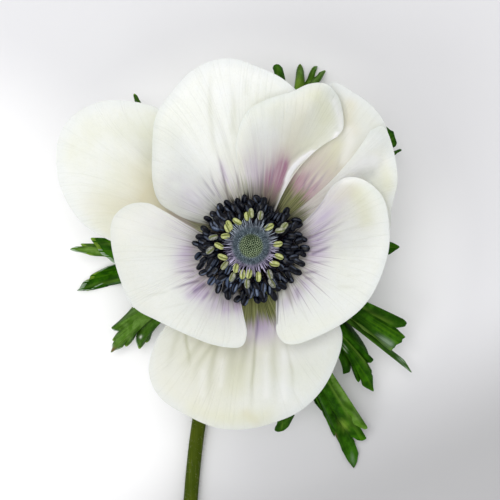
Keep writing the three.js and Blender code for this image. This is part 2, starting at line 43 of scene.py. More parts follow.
# where the flower's own axis stands in the frame, in mm; all places below are given from there
flowerX, flowerY = 3.26, 53.235


def smooth(low, high, value):
    t = min(1.0, max(0.0, (value - low) / (high - low)))  # low may be above high
    return t * t * (3 - 2 * t)


def bell(offset):
    return math.exp(-offset * offset)


def heading(angle):
    return Vector((math.cos(math.radians(angle)), math.sin(math.radians(angle))))


# degrees from one heading to another, the short way round
def turnBetween(angle, middle):
    return (angle - middle + 180) % 360 - 180


def place(x, y, z):
    return Vector(((x + flowerX) * mm, (y + flowerY) * mm, z * mm))


def pairs(numbers):
    return list(zip(numbers[::2], numbers[1::2]))


# point and tangent at a share of the length of a soft line through points
def alongLine(points, share, softness=1.0):
    lengths = [0.0]
    for a, b in zip(points, points[1:]):
        lengths.append(lengths[-1] + math.dist(a, b))
    distance = share * lengths[-1]
    last = len(points) - 1
    i = 0
    while i < last - 1 and lengths[i + 1] < distance:
        i += 1
    t = (distance - lengths[i]) / (lengths[i + 1] - lengths[i])
    b, c = Vector(points[i]), Vector(points[i + 1])
    a = Vector(points[i - 1]) if i > 0 else 2 * b - c
    d = Vector(points[i + 2]) if i + 2 <= last else 2 * c - b
    slope = c - a
    bend = 2 * a - 5 * b + 4 * c - d
    twist = 3 * b - a - 3 * c + d
    curved = 0.5 * (2 * b + slope * t + bend * t * t + twist * t ** 3)
    tangent = 0.5 * (slope + 2 * bend * t + 3 * twist * t * t)
    return b.lerp(c, t).lerp(curved, softness), tangent.normalized()


def lineDistance(line, at):
    gaps = []
    for a, b in zip(line, line[1:]):
        share = min(1.0, max(0.0, (at - a).dot(b - a) / (b - a).length_squared))
        gaps.append((a.lerp(b, share) - at).length)
    return min(gaps)


def bezier(line, t):
    a, b, c, d = line
    s = 1 - t
    return a * s ** 3 + b * 3 * t * s * s + c * 3 * t * t * s + d * t ** 3


def addObject(name, bm, material, sharpRim=False):
    mesh = bpy.data.meshes.new(name)
    if sharpRim:
        for edge in bm.edges:
            edge.smooth = not edge.is_boundary
    bm.to_mesh(mesh)
    bm.free()
    for polygon in mesh.polygons:
        polygon.use_smooth = True
    mesh.materials.append(material)
    piece = bpy.data.objects.new(name, mesh)
    scene.collection.objects.link(piece)
    return piece


# a sheet gets its thickness, thinner towards the rim where inner holds weights
def thicken(piece, thickness, rimShare, inner):
    group = piece.vertex_groups.new(name="inner")
    for index, weight in enumerate(inner):
        group.add([index], weight, "REPLACE")
    solid = piece.modifiers.new("thickness", "SOLIDIFY")
    solid.thickness = thickness * mm
    solid.offset = 0
    solid.vertex_group = "inner"
    solid.thickness_vertex_group = rimShare


class Nodes:
    def __init__(self, name):
        self.material = bpy.data.materials.new(name)
        self.material.use_nodes = True
        self.tree = self.material.node_tree
        self.shader = self.tree.nodes["Principled BSDF"]

    # a node, its settings, and its inputs by name or number, each a value or another node's output
    def add(self, kind, inputs=None, **settings):
        node = self.tree.nodes.new("ShaderNode" + kind)
        for key, value in settings.items():
            setattr(node, key, value)
        for key, value in (inputs or {}).items():
            if isinstance(value, bpy.types.NodeSocket):
                self.tree.links.new(value, node.inputs[key])
            else:
                node.inputs[key].default_value = value
        return node

    def math(self, operation, a, b=0.0):
        return self.add("Math", {0: a, 1: b}, operation=operation).outputs[0]

    def plus(self, a, b):
        return self.math("ADD", a, b)

    def minus(self, a, b):
        return self.math("SUBTRACT", a, b)

    def times(self, a, b):
        return self.math("MULTIPLY", a, b)

    def offMiddle(self, value):
        return self.math("ABSOLUTE", self.minus(value, 0.5))

    def ramp(self, value, low, high, start=0.0, end=1.0):
        ends = {"From Min": low, "From Max": high, "To Min": start, "To Max": end}
        return self.add("MapRange", {"Value": value, **ends}, interpolation_type="SMOOTHSTEP").outputs[0]

    def mix(self, factor, a, b):
        a, b = ((*color, 1) if isinstance(color, tuple) else color for color in (a, b))
        return self.add("Mix", {0: factor, 6: a, 7: b}, data_type="RGBA").outputs[2]

    # lays coats over a colour: the colours they have, and how much of each
    def coat(self, color, colors, **amounts):
        for kind, amount in amounts.items():
            color = self.mix(amount, color, colors[kind])
        return color

    def noise(self, vector, scale, detail=3.0, roughness=0.55):
        look = {"Scale": scale, "Detail": detail, "Roughness": roughness}
        return self.add("TexNoise", {"Vector": vector, **look}).outputs["Fac"]

    def stretch(self, vector, scale, shift=(0, 0, 0)):
        return self.add("Mapping", {"Vector": vector, "Scale": scale, "Location": shift}).outputs[0]

    def place(self):
        return self.add("TexCoord").outputs["Object"]

    def veins(self):
        return self.add("UVMap", uv_map="veins").outputs["UV"]

    def attribute(self, name):
        return self.add("Attribute", attribute_name=name).outputs["Fac"]

    def axis(self, vector, name):
        return self.add("SeparateXYZ", {0: vector}).outputs[name]

    # how far a place is, in mm, from the upright line at x, y of the flower
    def awayFrom(self, x, y):
        shift = (-(x + flowerX) * mm, -(y + flowerY) * mm, 0)
        shifted = self.stretch(self.place(), (1, 1, 0), shift)
        length = self.add("VectorMath", {0: shifted}, operation="LENGTH").outputs["Value"]
        return self.times(length, 1 / mm)

    def bump(self, height, strength, distance):
        node = self.add("Bump", {"Height": height, "Strength": strength, "Distance": distance * mm})
        self.tree.links.new(node.outputs["Normal"], self.shader.inputs["Normal"])

    def finish(self, color, **sockets):
        self.tree.links.new(color, self.shader.inputs["Base Color"])
        for name, value in sockets.items():
            self.shader.inputs[name.replace("_", " ")].default_value = value
        return self.material


bloom = dict(
    clawRadius=4.9, clawHalfWidth=2.3, clawHeights=(23.8, 24.95, 26.1), clawReach=17.5,
    bowlCurve=1.6, bowlLevel=0.25,  # how late the petals rise, and how much they level out
    thickness=0.28, rimShare=0.4, ripple=0.5, rippleScale=0.11,
    paintedHighlightLift=0.35, shadeDip=0.3, columns=140, rows=76,
)

# heading, tier, rise and reach; sides, by how many degrees the outer veins turn out; rim, its outline
# in x, y; wave along the rim, its height, waves and phase; a fold, its place across, half width, depth
# and start; curl, where an edge is bent to; its painted light level to streaks, how light and how marked
# it is, the lightness being painted shade that darkens the petals lying lower or further back
# a patch: kind, heading, half width in degrees, where it starts to fade and where it ends, strength
# a mark of each kind: half width, strength and the line it follows
petals = {}
petals["petal_upper_left"] = dict(
    heading=151, tier=0, rise=10, reach=50, sides=(38, 40), cup=1, wave=(0.5, 2.5, 0.4),
    folds=[(0.55, 0.14, -0.9, 0.35)], tone=0.86, cream=0.75, claw=0.8, streaks=0.55,
    rim=[-30.4, 0, -34.5, 1.7, -39.9, 5.2, -44, 10.9, -46.1, 17.3, -45.8, 25.2, -42.3, 30.9, -35.2, 34.5,
        -26.2, 34.1, -20.8, 31.8, -17.7, 26.4],
    patches=[("beige", 146, 9, 25, 40, 0.6), ("beige", 165, 30, 24, 44, 0.6),
        ("lilac", 150, 30, 14, 26, 0.3)],
    shade=[(2.6, 0.3, -24.6, 32.4, -24.2, 25.4, -23.5, 18.2), (2.8, 0.1, -38, 4, -33.5, 7.4, -28, 9)],
    beige=[(3, 0.3, -38, 10, -31, 9.5, -25, 11), (1.6, 0.6, -24.3, 11, -20.7, 8.2, -17.1, 5.8, -14.2, 3.6)],
    rose=[(0.9, 0.3, -21.2, 8.4, -18.3, 6.3, -15.7, 4.3)],
    violet=[(0.4, 0.6, -21.9, 10.1, -19.3, 7.9, -15.9, 6, -13.3, 4.6)],
)
petals["petal_back_right"] = dict(
    heading=48, tier=0, rise=17, reach=43, sides=(35, 25), straight=0.7, cup=0.3, wave=(0.3, 2, 1),
    folds=[(0.3, 0.2, -0.5, 0.4)], tone=0.74, cream=0.4, claw=0.95, clawReach=19.5, streaks=0.6,
    rim=[12.4, 29.8, 15, 35.4, 19.4, 38.4, 23.9, 36.2, 28.4, 32.9, 31.5, 28.7, 32.5, 23.5, 31.1, 18.5],
    patches=[("rose", 50, 16, 16, 32, 0.5), ("beige", 45, 30, 27, 40, 0.75),
        ("lilac", 42, 20, 20, 34, 0.35)],
    rose=[(1, 1, 11.5, 18, 10.3, 15.9, 9.4, 14.2), (1.7, 0.35, 13.4, 19.4, 12.2, 15.8, 11.8, 13.2),
        (1.6, 0.45, 17, 17, 14.6, 13.4, 13, 11.5)],
    violet=[(0.3, 0.5, 16.7, 18.6, 15.1, 16.1, 13.4, 13.4), (0.3, 0.35, 18.9, 18.9, 17, 16.3, 15.1, 13.4),
        (0.3, 0.4, 14.8, 19.4, 13, 15.8, 12.5, 13.5)],
    olive=[(1.4, 0.3, 20.4, 24, 19.5, 20.5, 18.4, 17.7)],
    beige=[(1.7, 0.5, 23.4, 33.3, 22.9, 30.3, 23.9, 27.5)],
    margin=[(1.5, 0.35, 23.4, 27.2, 23.5, 24.7, 23, 22.3, 22.4, 20.2)],
    shade=[(3, 0.3, 20.5, 25, 18.5, 21, 16, 16), (0.4, 0.35, 21.4, 23.5, 21, 20.5, 20.1, 17.4)],
)
petals["petal_bottom"] = dict(
    heading=-91, tier=0, rise=10, reach=44, sides=(50, 52), cup=0.6, wave=(0.4, 3, 2), folds=[], tone=0.84,
    cream=0.5, claw=1, clawReach=20.5, streaks=0.7,
    rim=[19.7, -15.8, 21.8, -21.3, 20.5, -27.5, 16.9, -34.3, 11.7, -39.3, 5.2, -42.1, -1.2, -43.5,
        -7.8, -43.3, -14.5, -40.7, -21.4, -36.2, -24.3, -30, -22.7, -22.7, -19, -17.3],
    patches=[("lilac", -84, 26, 19, 26, 1), ("beige", -112, 30, 36, 52, 0.3),
        ("beige", -90, 40, 22, 34, 0.35)],
    violet=[(2.5, 0.35, 2.5, -14, 2.5, -25), (0.35, 0.7, 1.7, -16.4, 1.4, -20.2, 1, -25),
        (0.25, 0.5, 4.1, -14.9, 4.1, -20.2), (0.25, 0.5, 0, -15.9, -0.5, -21.4),
        (0.3, 0.55, 5.8, -16.9, 5.8, -22.6)],
    shade=[(0.4, 0.7, -15.9, -19, -15.5, -23, -14.9, -26, -14.4, -30.5),
        (0.7, 0.45, -10.5, -20.5, -13.9, -25.6, -17.5, -30.5),
        (0.6, 0.5, -7.3, -21, -11.3, -26.4, -12.9, -28.7, -14.6, -34),
        (0.8, 0.6, -7.2, -20, -9.1, -27.3, -9.6, -30.8, -10.4, -39),
        (1.6, 0.5, -3.8, -20, -4.6, -28.5, -5.8, -37), (0.9, 0.5, -0.2, -20, -1.9, -27.8, -3.2, -36),
        (0.45, 0.75, 1.3, -18, 0.7, -28.5, 0.2, -33.2, 0.2, -42),
        (0.8, 0.35, 5.5, -20, 5.5, -27.8, 5.7, -40), (0.5, 0.4, 7.9, -21, 9.8, -29.7, 10.3, -38),
        (0.8, 0.3, -16.8, -19, -18.9, -25.4, -20.6, -31), (1.8, 0.1, -13, -40, -3.5, -41.8, 6, -41)],
    margin=[(3, 0.35, 10, -25.5, 16, -23.5, 20, -20), (0.8, 0.25, 3.6, -26.1, 3.6, -35.8),
        (0.9, 0.3, 7.9, -25.4, 7.9, -36.5), (0.8, 0.2, -6.9, -27.8, -7.2, -33.2),
        (0.8, 0.2, -11.5, -30.1, -11.7, -35.1)],
    olive=[(2.4, 0.35, -14, -39.5, -9.8, -41.2, -2.6, -41.6, 4, -41.2),
        (2.6, 0.25, -3.8, -33.2, -2.6, -30.2)],
    beige=[(1.2, 0.45, -1.2, -40, 1.4, -41.9)],
)
petals["petal_top"] = dict(
    heading=103, tier=1, rise=13, reach=44, sides=(72, 35), cup=0.8, wave=(0.5, 3, 0.5),
    folds=[(0.1, 0.08, -0.5, 0.3), (-0.35, 0.1, -0.4, 0.5)], tone=1, cream=0.4, claw=0.35, streaks=0.32,
    rim=[-18, 7.7, -21.8, 10.3, -23.4, 14.8, -23.5, 21.6, -22.7, 30.3, -18.9, 36.2, -13, 42, -5.7, 44.3,
        1.2, 42.5, 7.8, 39.3, 12.3, 34.6, 13.8, 28.8],
    patches=[("lilac", 135, 16, 15, 24, 0.2), ("lilac", 110, 16, 14, 24, 0.45),
        ("beige", 100, 30, 16, 30, 0.15)],
    shade=[(0.7, 0.3, -9.7, 47, -9.5, 40.4, -9.7, 35.8, -9.7, 31.8, -9.3, 27.6, -8.4, 21),
        (0.9, 0.3, -4.5, 41.1, -4, 32.3, -4.5, 25.3), (0.9, 0.2, -0.9, 41.6, -1.2, 35.1),
        (3, 0.08, -1, 39, 3, 36, 6, 32)],
    violet=[(0.3, 0.75, -8.8, 25, -7.4, 19.9, -6.7, 17, -6, 13.7, -5.3, 10.8),
        (0.3, 0.5, -12.5, 17.3, -10.8, 14.9, -8.9, 12.3), (0.3, 0.5, -10.3, 19.6, -9.1, 15.4, -7.5, 11.8),
        (0.24, 0.4, -14.6, 13.7, -11.5, 10.1), (0.24, 0.35, -16.1, 12, -11.5, 8.9),
        (0.24, 0.4, -14.1, 15.3, -10.1, 10.8), (0.3, 0.4, -3.6, 19.4, -3.1, 15.9, -3.1, 12.8)],
    lilac=[(2.4, 0.7, -18, 14.5, -13, 10.3), (1, 0.5, -7.6, 22, -6.5, 15.9)],
    margin=[(2.2, 0.45, -15, 14, -11.5, 10)],
)
petals["petal_side_right"] = dict(
    heading=24, tier=1, rise=14.5, reach=37, sides=(6, 30), straight=0.8, curl=(13, 9, 22, 17),
    curlSide=-1, cup=0.4, wave=(0.3, 2, 0), folds=[(-0.3, 0.2, -0.2, 0.45)], tone=0.93, cream=0.8,
    claw=0.8, streaks=0.35,
    rim=[28.1, 27.2, 31.2, 27.9, 33.5, 22.5, 34.5, 15.5, 33.2, 9.2, 32.6, 3.3, 29.6, -1],
    patches=[("rose", 34, 10, 18, 28, 0.4), ("beige", 30, 20, 20, 30, 0.3)],
    margin=[(2.5, 0.7, 23, 16, 26, 19, 29, 20)],
    shade=[(0.7, 0.15, 27.3, 25, 28.2, 19, 29.4, 15.5)],
    olive=[(1.7, 0.35, 29.8, 21.4, 31.5, 17.8, 32.7, 14.1)],
)
petals["petal_left"] = dict(
    heading=205, tier=1, rise=17, reach=33.5, sides=(62, 45), straight=0.5, cup=1.4, wave=(0.4, 3, 1.5),
    folds=[(0.15, 0.12, -0.4, 0.4), (-0.3, 0.1, -0.4, 0.4)], tone=0.94, cream=0.25, claw=0.25, streaks=0.42,
    rim=[-1.7, -17.2, -1, -20.9, -2.6, -23.9, -8.3, -23.5, -14.4, -21.3, -21.9, -17.7, -27.7, -14.1,
        -31, -7.1, -32.8, 0.4, -32.4, 6.3, -28.9, 9.6, -24.3, 10.1, -20.4, 8.1],
    patches=[("lilac", 214, 20, 15, 22, 0.6), ("lilac", 245, 26, 14, 24, 0.5),
        ("lilac", 188, 22, 14, 21, 0.4), ("lilac", 160, 12, 15, 30, 0.35),
        ("shade", 178, 45, 35, 23, 0.32)],
    violet=[(0.55, 0.9, -11.3, -9.4, -13.4, -10.8, -15.5, -12.2),
        (0.3, 0.8, -12.7, -8.4, -15.5, -9.1, -18.1, -10, -20.2, -10.7),
        (0.3, 0.6, -13.9, -6, -17, -6.2, -19.3, -6.4), (0.25, 0.5, -13.9, -7.4, -16.7, -7.9),
        (0.35, 0.5, -10.3, -11.3, -12.2, -13.6), (0.3, 0.4, -8.9, -11.5, -10.5, -14.1),
        (0.3, 0.4, -7, -12.5, -6.9, -15.5), (0.25, 0.3, -4.6, -13, -3.8, -16)],
    lilac=[(2.2, 0.45, -15.3, -1, -16.7, -3.8, -16.7, -7.9), (1.5, 0.7, -12, -10.8, -14.3, -11.2),
        (1.8, 0.7, -9.8, -12.9, -6.2, -14.4, -3.1, -14.4), (3, 0.2, -18.4, 3.8, -21.6, 5.2)],
    margin=[(3.5, 0.4, -28.5, 4.5, -24, 6.5)],
    shade=[(0.35, 0.2, -19.3, -10.7, -23.4, -11.6, -26.6, -12.3),
        (0.3, 0.15, -14.5, -13.4, -20.1, -14.7, -23.8, -15.8),
        (2.2, 0.2, -29.5, -13, -28.2, -14, -22, -18.5), (2, 0.1, -31.5, 5, -31.3, -4, -29, -11)],
)
petals["petal_upper_right"] = dict(
    heading=66, tier=2, rise=15, reach=40.5, sides=(42, -10), straight=0.5, curl=(8, 16, 12.5, 21.8),
    curlSide=1, cup=0.6, wave=(0.4, 2, 0.6), folds=[(0.5, 0.3, -0.4, 0.4)], lip=1, tone=0.92, cream=0.7,
    claw=0.5, streaks=0.5,
    rim=[-3.1, 18.6, -3.6, 24.7, -1.2, 31.4, 3.8, 34.6, 9.4, 36.2, 13.6, 38, 17.6, 38, 20.4, 35.2,
        21.6, 31.3, 21.7, 27.8, 20.3, 25.7],
    patches=[("rose", 72, 16, 16, 28, 0.45), ("lilac", 88, 16, 16, 32, 0.35),
        ("beige", 66, 18, 20, 40, 0.4)],
    margin=[(0.5, 1, 6.2, 8.7, 7, 10.6, 7.7, 12.7, 8.6, 15.3, 9.3, 17.4, 10.7, 19.3, 12.4, 20.7,
        14.3, 21.9, 16.4, 22.5, 18, 23.2, 19.4, 24.6, 20.3, 26.4),
        (0.8, 0.5, 19.7, 34, 20.7, 31.5, 21.2, 29.2, 21.5, 27.1, 20.5, 25.3),
        (0.55, 0.6, 8.6, 16, 10, 18.9, 12, 20.9, 14.5, 22.4)],
    shade=[(0.5, 0.3, 7, 15, 8, 18.2, 9.4, 20.6, 11.5, 22.4, 13.9, 23.8, 16.1, 24.7, 18, 26)],
    olive=[(2.8, 0.5, 15.7, 36, 17.2, 33, 17.5, 30.5), (1.8, 0.25, 16.5, 26.5, 15, 25.2, 13.5, 24.4)],
    rose=[(1.5, 0.95, 8, 25.5, 6.9, 18.5, 5.8, 14.6, 5, 12), (0.9, 0.6, 9.2, 23, 7.9, 17.7, 6.9, 14.1),
        (0.8, 0.5, 4.5, 22, 3.6, 13)],
    violet=[(0.25, 0.55, 3.1, 23.3, 2.9, 18.2, 2.6, 13.2), (0.25, 0.5, 5.5, 23.3, 5.3, 18.2, 4.3, 13),
        (0.2, 0.4, 1.4, 19.1, 1.9, 13.4)],
    lilac=[(2.2, 0.3, -0.7, 25, 0.5, 18.2, 1.2, 13.9)],
    beige=[(3, 0.35, 12, 32.5, 10.7, 27.5, 9.3, 22.8)],
)
petals["petal_right"] = dict(
    heading=-12, tier=2, rise=16, reach=33, sides=(32, 50), cup=0.6, wave=(0.35, 3, 0.8),
    folds=[(-0.1, 0.12, -0.4, 0.4), (0.4, 0.1, -0.4, 0.4)], tone=0.9, cream=0.5, claw=0.3, streaks=0.5,
    rim=[17.1, 10.9, 19.4, 14.4, 22.8, 16.2, 27, 15.2, 31.1, 11, 32.5, 3.7, 31.8, -3.3, 28.1, -12,
        22.1, -17.9, 13.7, -22.2, 8.7, -23.2, 6.2, -20.9, 6, -17.4],
    patches=[("lilac", 30, 18, 18, 32, 0.5), ("lilac", 0, 18, 14, 22, 0.4),
        ("lilac", -30, 22, 14, 24, 0.45), ("beige", 14, 18, 26, 36, 0.25)],
    violet=[(0.35, 0.8, 20.2, 0.5, 17.6, -0.7, 14.8, -1.9), (0.2, 0.5, 20.2, -3.8, 16.5, -3.8, 14.1, -4.1),
        (0.35, 0.75, 17.2, -6.2, 14.6, -6.2, 12.7, -6.5), (0.25, 0.55, 15.7, -7.9, 13.1, -7.7),
        (0.3, 0.35, 23.4, 6.8, 20, 4.3, 16, 1.4), (0.25, 0.45, 21.6, 3.1, 17.9, 1.2, 14.6, -0.2),
        (0.3, 0.3, 22.9, 9.2, 19.5, 6.4, 15.5, 2.9), (0.4, 0.55, 11.7, -13.4, 11, -10.5),
        (0.25, 0.4, 13.4, -9.6, 11.7, -8.1)],
    lilac=[(2.2, 0.45, 21, 11.5, 17.6, 5.7, 15, 1.5), (2.2, 0.35, 20, 0.2, 15, -2),
        (1.8, 0.5, 15.5, -6, 12.2, -10, 9.8, -12.4, 7.9, -13.9)],
    olive=[(2.2, 0.45, 24.7, 12, 26.3, 9.4, 27.1, 6.3)],
    beige=[(2, 0.45, 21, 11.8, 23.5, 13.2)],
    margin=[(0.8, 0.5, 21.9, 15.5, 25.6, 15.9, 28.3, 15, 30.4, 13.5)],
    shade=[(0.4, 0.2, 19.9, -9.7, 27, -9.7), (0.35, 0.15, 22.2, -7.1, 27.7, -6.8),
        (0.35, 0.15, 23, -3.8, 27.3, -3.5)],
)


petalTints = ("lilac", "rose", "beige", "olive", "violet", "shade", "margin")
# colours painted as light or shade: foot is a painted shadow under the stamens, the light colour of the
# marked strips a painted highlight, shade painted shade; beige and olive are partly the petals' own tint
# and partly painted shade
petalColors = dict(
    ivory=(0.82, 0.845, 0.78), cream=(0.74, 0.76, 0.61), grain=(0.62, 0.64, 0.54),
    vein=(0.45, 0.45, 0.38), net=(0.45, 0.47, 0.38), rim=(0.66, 0.73, 0.69),
    beige=(0.56, 0.52, 0.38), olive=(0.55, 0.55, 0.31), shade=(0.36, 0.37, 0.27),
    lilac=(0.46, 0.37, 0.53), rose=(0.3, 0.15, 0.22), violet=(0.12, 0.09, 0.18),
    streak=(0.14, 0.09, 0.16), claw=(0.043, 0.052, 0.012), clawLight=(0.18, 0.2, 0.06),
    foot=(0.012, 0.01, 0.012), margin=(0.9, 0.89, 0.85),
)


def petalHeight(petal, x, y):
    claw, level = bloom["clawRadius"], bloom["bowlLevel"]
    t = max(0.0, (math.hypot(x, y) - claw) / (petal["reach"] - claw))
    rise = petal["rise"] * t ** bloom["bowlCurve"] * (1 + level - level * t ** 3)
    return bloom["clawHeights"][petal["tier"]] + rise


def petalRelief(petal, u, v):
    lift = petal["cup"] * u * u * v ** 1.5
    height, waves, phase = petal["wave"]
    lift += height * math.sin(waves * math.pi * u + phase) * v ** 4
    for centre, width, depth, start in petal["folds"]:
        fade = smooth(start, start + 0.3, v) * (1 - 0.75 * smooth(0.65, 0.95, v))  # flatter at the rim
        lift += depth * bell((u - centre) / width) * fade
    if "lip" in petal:
        lift += petal["lip"] * smooth(0.86, 1, u) * math.sin(math.pi * v ** 0.7) ** 2
    return lift


# the course of the vein at u, from -1 at one side of the petal to 1 at the other
def petalVein(petal, u):
    out, side = heading(petal["heading"]), heading(petal["heading"] - 90)
    start = out * bloom["clawRadius"] + side * (u * bloom["clawHalfWidth"])
    end, tangent = alongLine(pairs(petal["rim"]), (u + 1) / 2)
    turn = abs(u) ** 3
    outward = Vector((-tangent.y, tangent.x)) * (1 - turn)
    outward -= tangent * (math.copysign(1, u) * turn)
    outward = outward.normalized().lerp((end - start).normalized(), petal.get("straight", 0))
    outward.normalize()
    spread = u * petal["sides"][1 if u > 0 else 0]
    length = (end - start).length
    first = start + heading(petal["heading"] - spread) * (0.33 * length)
    second = end - outward * (0.25 * length)
    if "curl" in petal and u * petal["curlSide"] > 0:
        share = smooth(0, 1, abs(u))
        first = first.lerp(Vector(petal["curl"][:2]), share)
        second = second.lerp(Vector(petal["curl"][2:]), share)
    return start, first, second, end


# a petal's marks: kind, half width, strength, line, and the box outside which nothing of it shows
def petalMarks(petal):
    marks = []
    for kind in petalTints:
        for width, strength, *line in petal.get(kind, []):
            reach = 2.5 * width
            xs, ys = line[::2], line[1::2]
            box = (min(xs) - reach, max(xs) + reach, min(ys) - reach, max(ys) + reach)
            marks.append((kind, width, strength, [Vector(point) for point in pairs(line)], box))
    return marks


def tintsAt(petal, marks, at):
    found = dict.fromkeys(petalTints, 0.0)
    turn = math.degrees(math.atan2(at.y, at.x))
    for kind, middle, width, full, end, strength in petal["patches"]:
        fade = 1 - smooth(full, end, at.length)
        found[kind] += strength * bell(turnBetween(turn, middle) / width) * fade
    for kind, width, strength, line, (left, right, low, high) in marks:
        if not (left < at.x < right and low < at.y < high):
            continue
        near, far = sorted((line[0], line[-1]), key=lambda end: end.length)
        span = (far - near).length
        if kind in ("violet", "shade", "rose", "lilac"):
            strength *= smooth(0, 0.6 * span, (far - at).length)  # it thins out towards the rim
        if kind == "shade":
            strength *= smooth(0, 0.2 * span, (near - at).length)
        found[kind] += strength * bell(lineDistance(line, at) / width)
    return {kind: min(1.0, value) for kind, value in found.items()}


# veins fan from the claw (v = 0) to the rim (v = 1), and every colour on the petal follows them
def petalMaterial(name, petal, seed):
    n = Nodes(name)
    uv = n.veins()

    # noise along the veins: how often it changes across and along, and where its pattern starts
    def veined(across, along, start, detail, roughness):
        stretched = n.stretch(uv, (across, along, 1), (seed * start, 0, 0))
        return n.noise(stretched, 1.0, detail, roughness)

    soft = n.noise(n.place(), 90.0, 3, 0.5)
    broad = veined(30, 1, 3.1, 3, 0.6)
    fine = veined(130, 2.5, 1.7, 3, 0.6)
    vein = n.ramp(n.offMiddle(veined(24, 0.5, 5.3, 1, 0.5)), 0.022, 0.004)
    net = n.ramp(n.offMiddle(veined(55, 16, 4.1, 2, 0.6)), 0.03, 0.005)
    mottle = n.ramp(broad, 0.25, 0.65, 0.45, 1)
    thread = n.ramp(fine, 0.25, 0.6, 0.5, 1)

    radius = n.awayFrom(0, 0)
    far = n.plus(radius, n.times(n.minus(veined(40, 0.05, 3.9, 0, 0.5), 0.5), 16))
    ray = n.plus(n.times(n.offMiddle(veined(34, 0.12, 2.3, 0, 0.5)), 18), n.ramp(far, 12, 23))
    claw = n.plus(radius, n.times(n.minus(broad, 0.5), 9))
    clawReach = petal.get("clawReach", bloom["clawReach"])

    colors = dict(petalColors)
    # the ivory and cream are darkened petal by petal: painted shade, deepest on the petals that lie lower
    # or further back
    for kind in ("ivory", "cream"):
        colors[kind] = tuple(petal["tone"] * value for value in colors[kind])
    colors["claw"] = n.mix(n.ramp(fine, 0.35, 0.65), colors["claw"], colors["clawLight"])
    base = n.mix(n.times(n.ramp(soft, 0.3, 0.7), petal["cream"]), colors["ivory"], colors["cream"])
    color = n.coat(
        base, colors,
        grain=n.ramp(fine, 0.45, 0.75, 0, 0.14),
        vein=n.times(vein, 0.13),
        net=n.times(net, 0.09),
        rim=n.ramp(n.axis(uv, "Y"), 0.9, 1, 0, 0.35),
        # partly the petals' own tint and partly painted shade in valleys, along the edges of overlapping
        # petals and on petals lying deeper
        beige=n.attribute("beige"),
        olive=n.attribute("olive"),
        shade=n.attribute("shade"),
        lilac=n.times(n.attribute("lilac"), mottle),
        rose=n.times(n.attribute("rose"), mottle),
        violet=n.times(n.attribute("violet"), thread),
        streak=n.times(n.ramp(ray, 1, 0.3), petal["streaks"]),
        claw=n.ramp(claw, clawReach, clawReach - 4.5, 0, petal["claw"]),
        # painted shadow, near black, on the petals' base under the stamen ring
        foot=n.ramp(claw, 13, 10.5),
        # painted highlights where curled edges, pleat ridges and folds catch light, and painted light over
        # spots lying in shade
        margin=n.attribute("margin"),
    )
    grain = n.plus(n.times(broad, 0.7), n.times(fine, 0.3))
    n.bump(n.minus(grain, n.times(vein, 0.15)), 0.5, 0.4)
    return n.finish(
        color, Roughness=0.6, Subsurface_Weight=0.7, Subsurface_Radius=(0.002, 0.0019, 0.0016),
        Subsurface_Scale=1.0, Specular_IOR_Level=0.2,
    )


def startSheet(kinds):
    bm = bmesh.new()
    bm.loops.layers.uv.new("veins")
    for kind in kinds:
        bm.verts.layers.float.new(kind)
    return bm, {kind: bm.verts.layers.float[kind] for kind in kinds}


# lays a grid along the lines that lineAt gives for u, and goes through its vertices
def spreadGrid(bm, columns, rows, lineAt, shift=0):
    verts = bmesh.ops.create_grid(bm, x_segments=columns, y_segments=rows, size=0.5)["verts"]
    uvLayer = bm.loops.layers.uv["veins"]
    for face in {face for vert in verts for face in vert.link_faces}:
        for loop in face.loops:
            loop[uvLayer].uv = (loop.vert.co.x + 0.5 + shift, loop.vert.co.y + 0.5)
    lines = {}
    for vert in verts:
        u, v = 2 * vert.co.x, vert.co.y + 0.5
        key = round(u, 5)
        if key not in lines:
            lines[key] = lineAt(u)
        yield vert, u, v, bezier(lines[key], v)


def rippleAt(at, scale, seed):
    return noise.noise(Vector((at.x * scale, at.y * scale, seed)))


def buildPetal(name, petal, seed):
    bm, layers = startSheet(petalTints)
    marks = petalMarks(petal)
    grid = spreadGrid(bm, bloom["columns"], bloom["rows"], lambda u: petalVein(petal, u))
    inner = []
    for vert, u, v, at in grid:
        tints = tintsAt(petal, marks, at)
        z = petalHeight(petal, at.x, at.y) + petalRelief(petal, u, v)
        z += bloom["ripple"] * rippleAt(at, bloom["rippleScale"], seed * 7.3) * smooth(0.3, 0.9, v)
        # the painted highlights are raised a little and the painted shade marks dipped a little
        z += bloom["paintedHighlightLift"] * tints["margin"] - bloom["shadeDip"] * tints["shade"]
        vert.co = place(at.x, at.y, z)
        for kind, layer in layers.items():
            vert[layer] = tints[kind]
        inner.append((1 - smooth(0.9, 1, v)) * (1 - smooth(0.93, 1, abs(u))))
    piece = addObject(name + "_blade", bm, petalMaterial(name + "_skin", petal, seed), True)
    thicken(piece, bloom["thickness"], bloom["rimShare"], inner)
    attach(piece, "root")
    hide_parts(name)


for seed, (name, petal) in enumerate(petals.items()):
    buildPetal(name, petal, seed)
print("petals built")


def blend(values, share):
    at = share * (len(values) - 1)
    i = min(int(at), len(values) - 2)
    return values[i] + (values[i + 1] - values[i]) * (at - i)


def keepShape(name, bm):
    for layer in ("tint", "groove", "stripe"):
        if layer not in bm.verts.layers.float:
            bm.verts.layers.float.new(layer)
    mesh = bpy.data.meshes.new(name)
    bm.to_mesh(mesh)
    bm.free()
    return mesh


# a rod one unit long along z, with rings between its ends
def makeRod(name, sides, cuts):
    bm = bmesh.new()
    bmesh.ops.create_cone(bm, cap_ends=True, segments=sides, radius1=1, radius2=1, depth=1)
    bmesh.ops.translate(bm, verts=bm.verts, vec=(0, 0, 0.5))
    upright = [e for e in bm.edges if abs(e.verts[0].co.z - e.verts[1].co.z) > 0.5]
    if cuts:
        bmesh.ops.subdivide_edges(bm, edges=upright, cuts=cuts)
    return keepShape(name, bm)
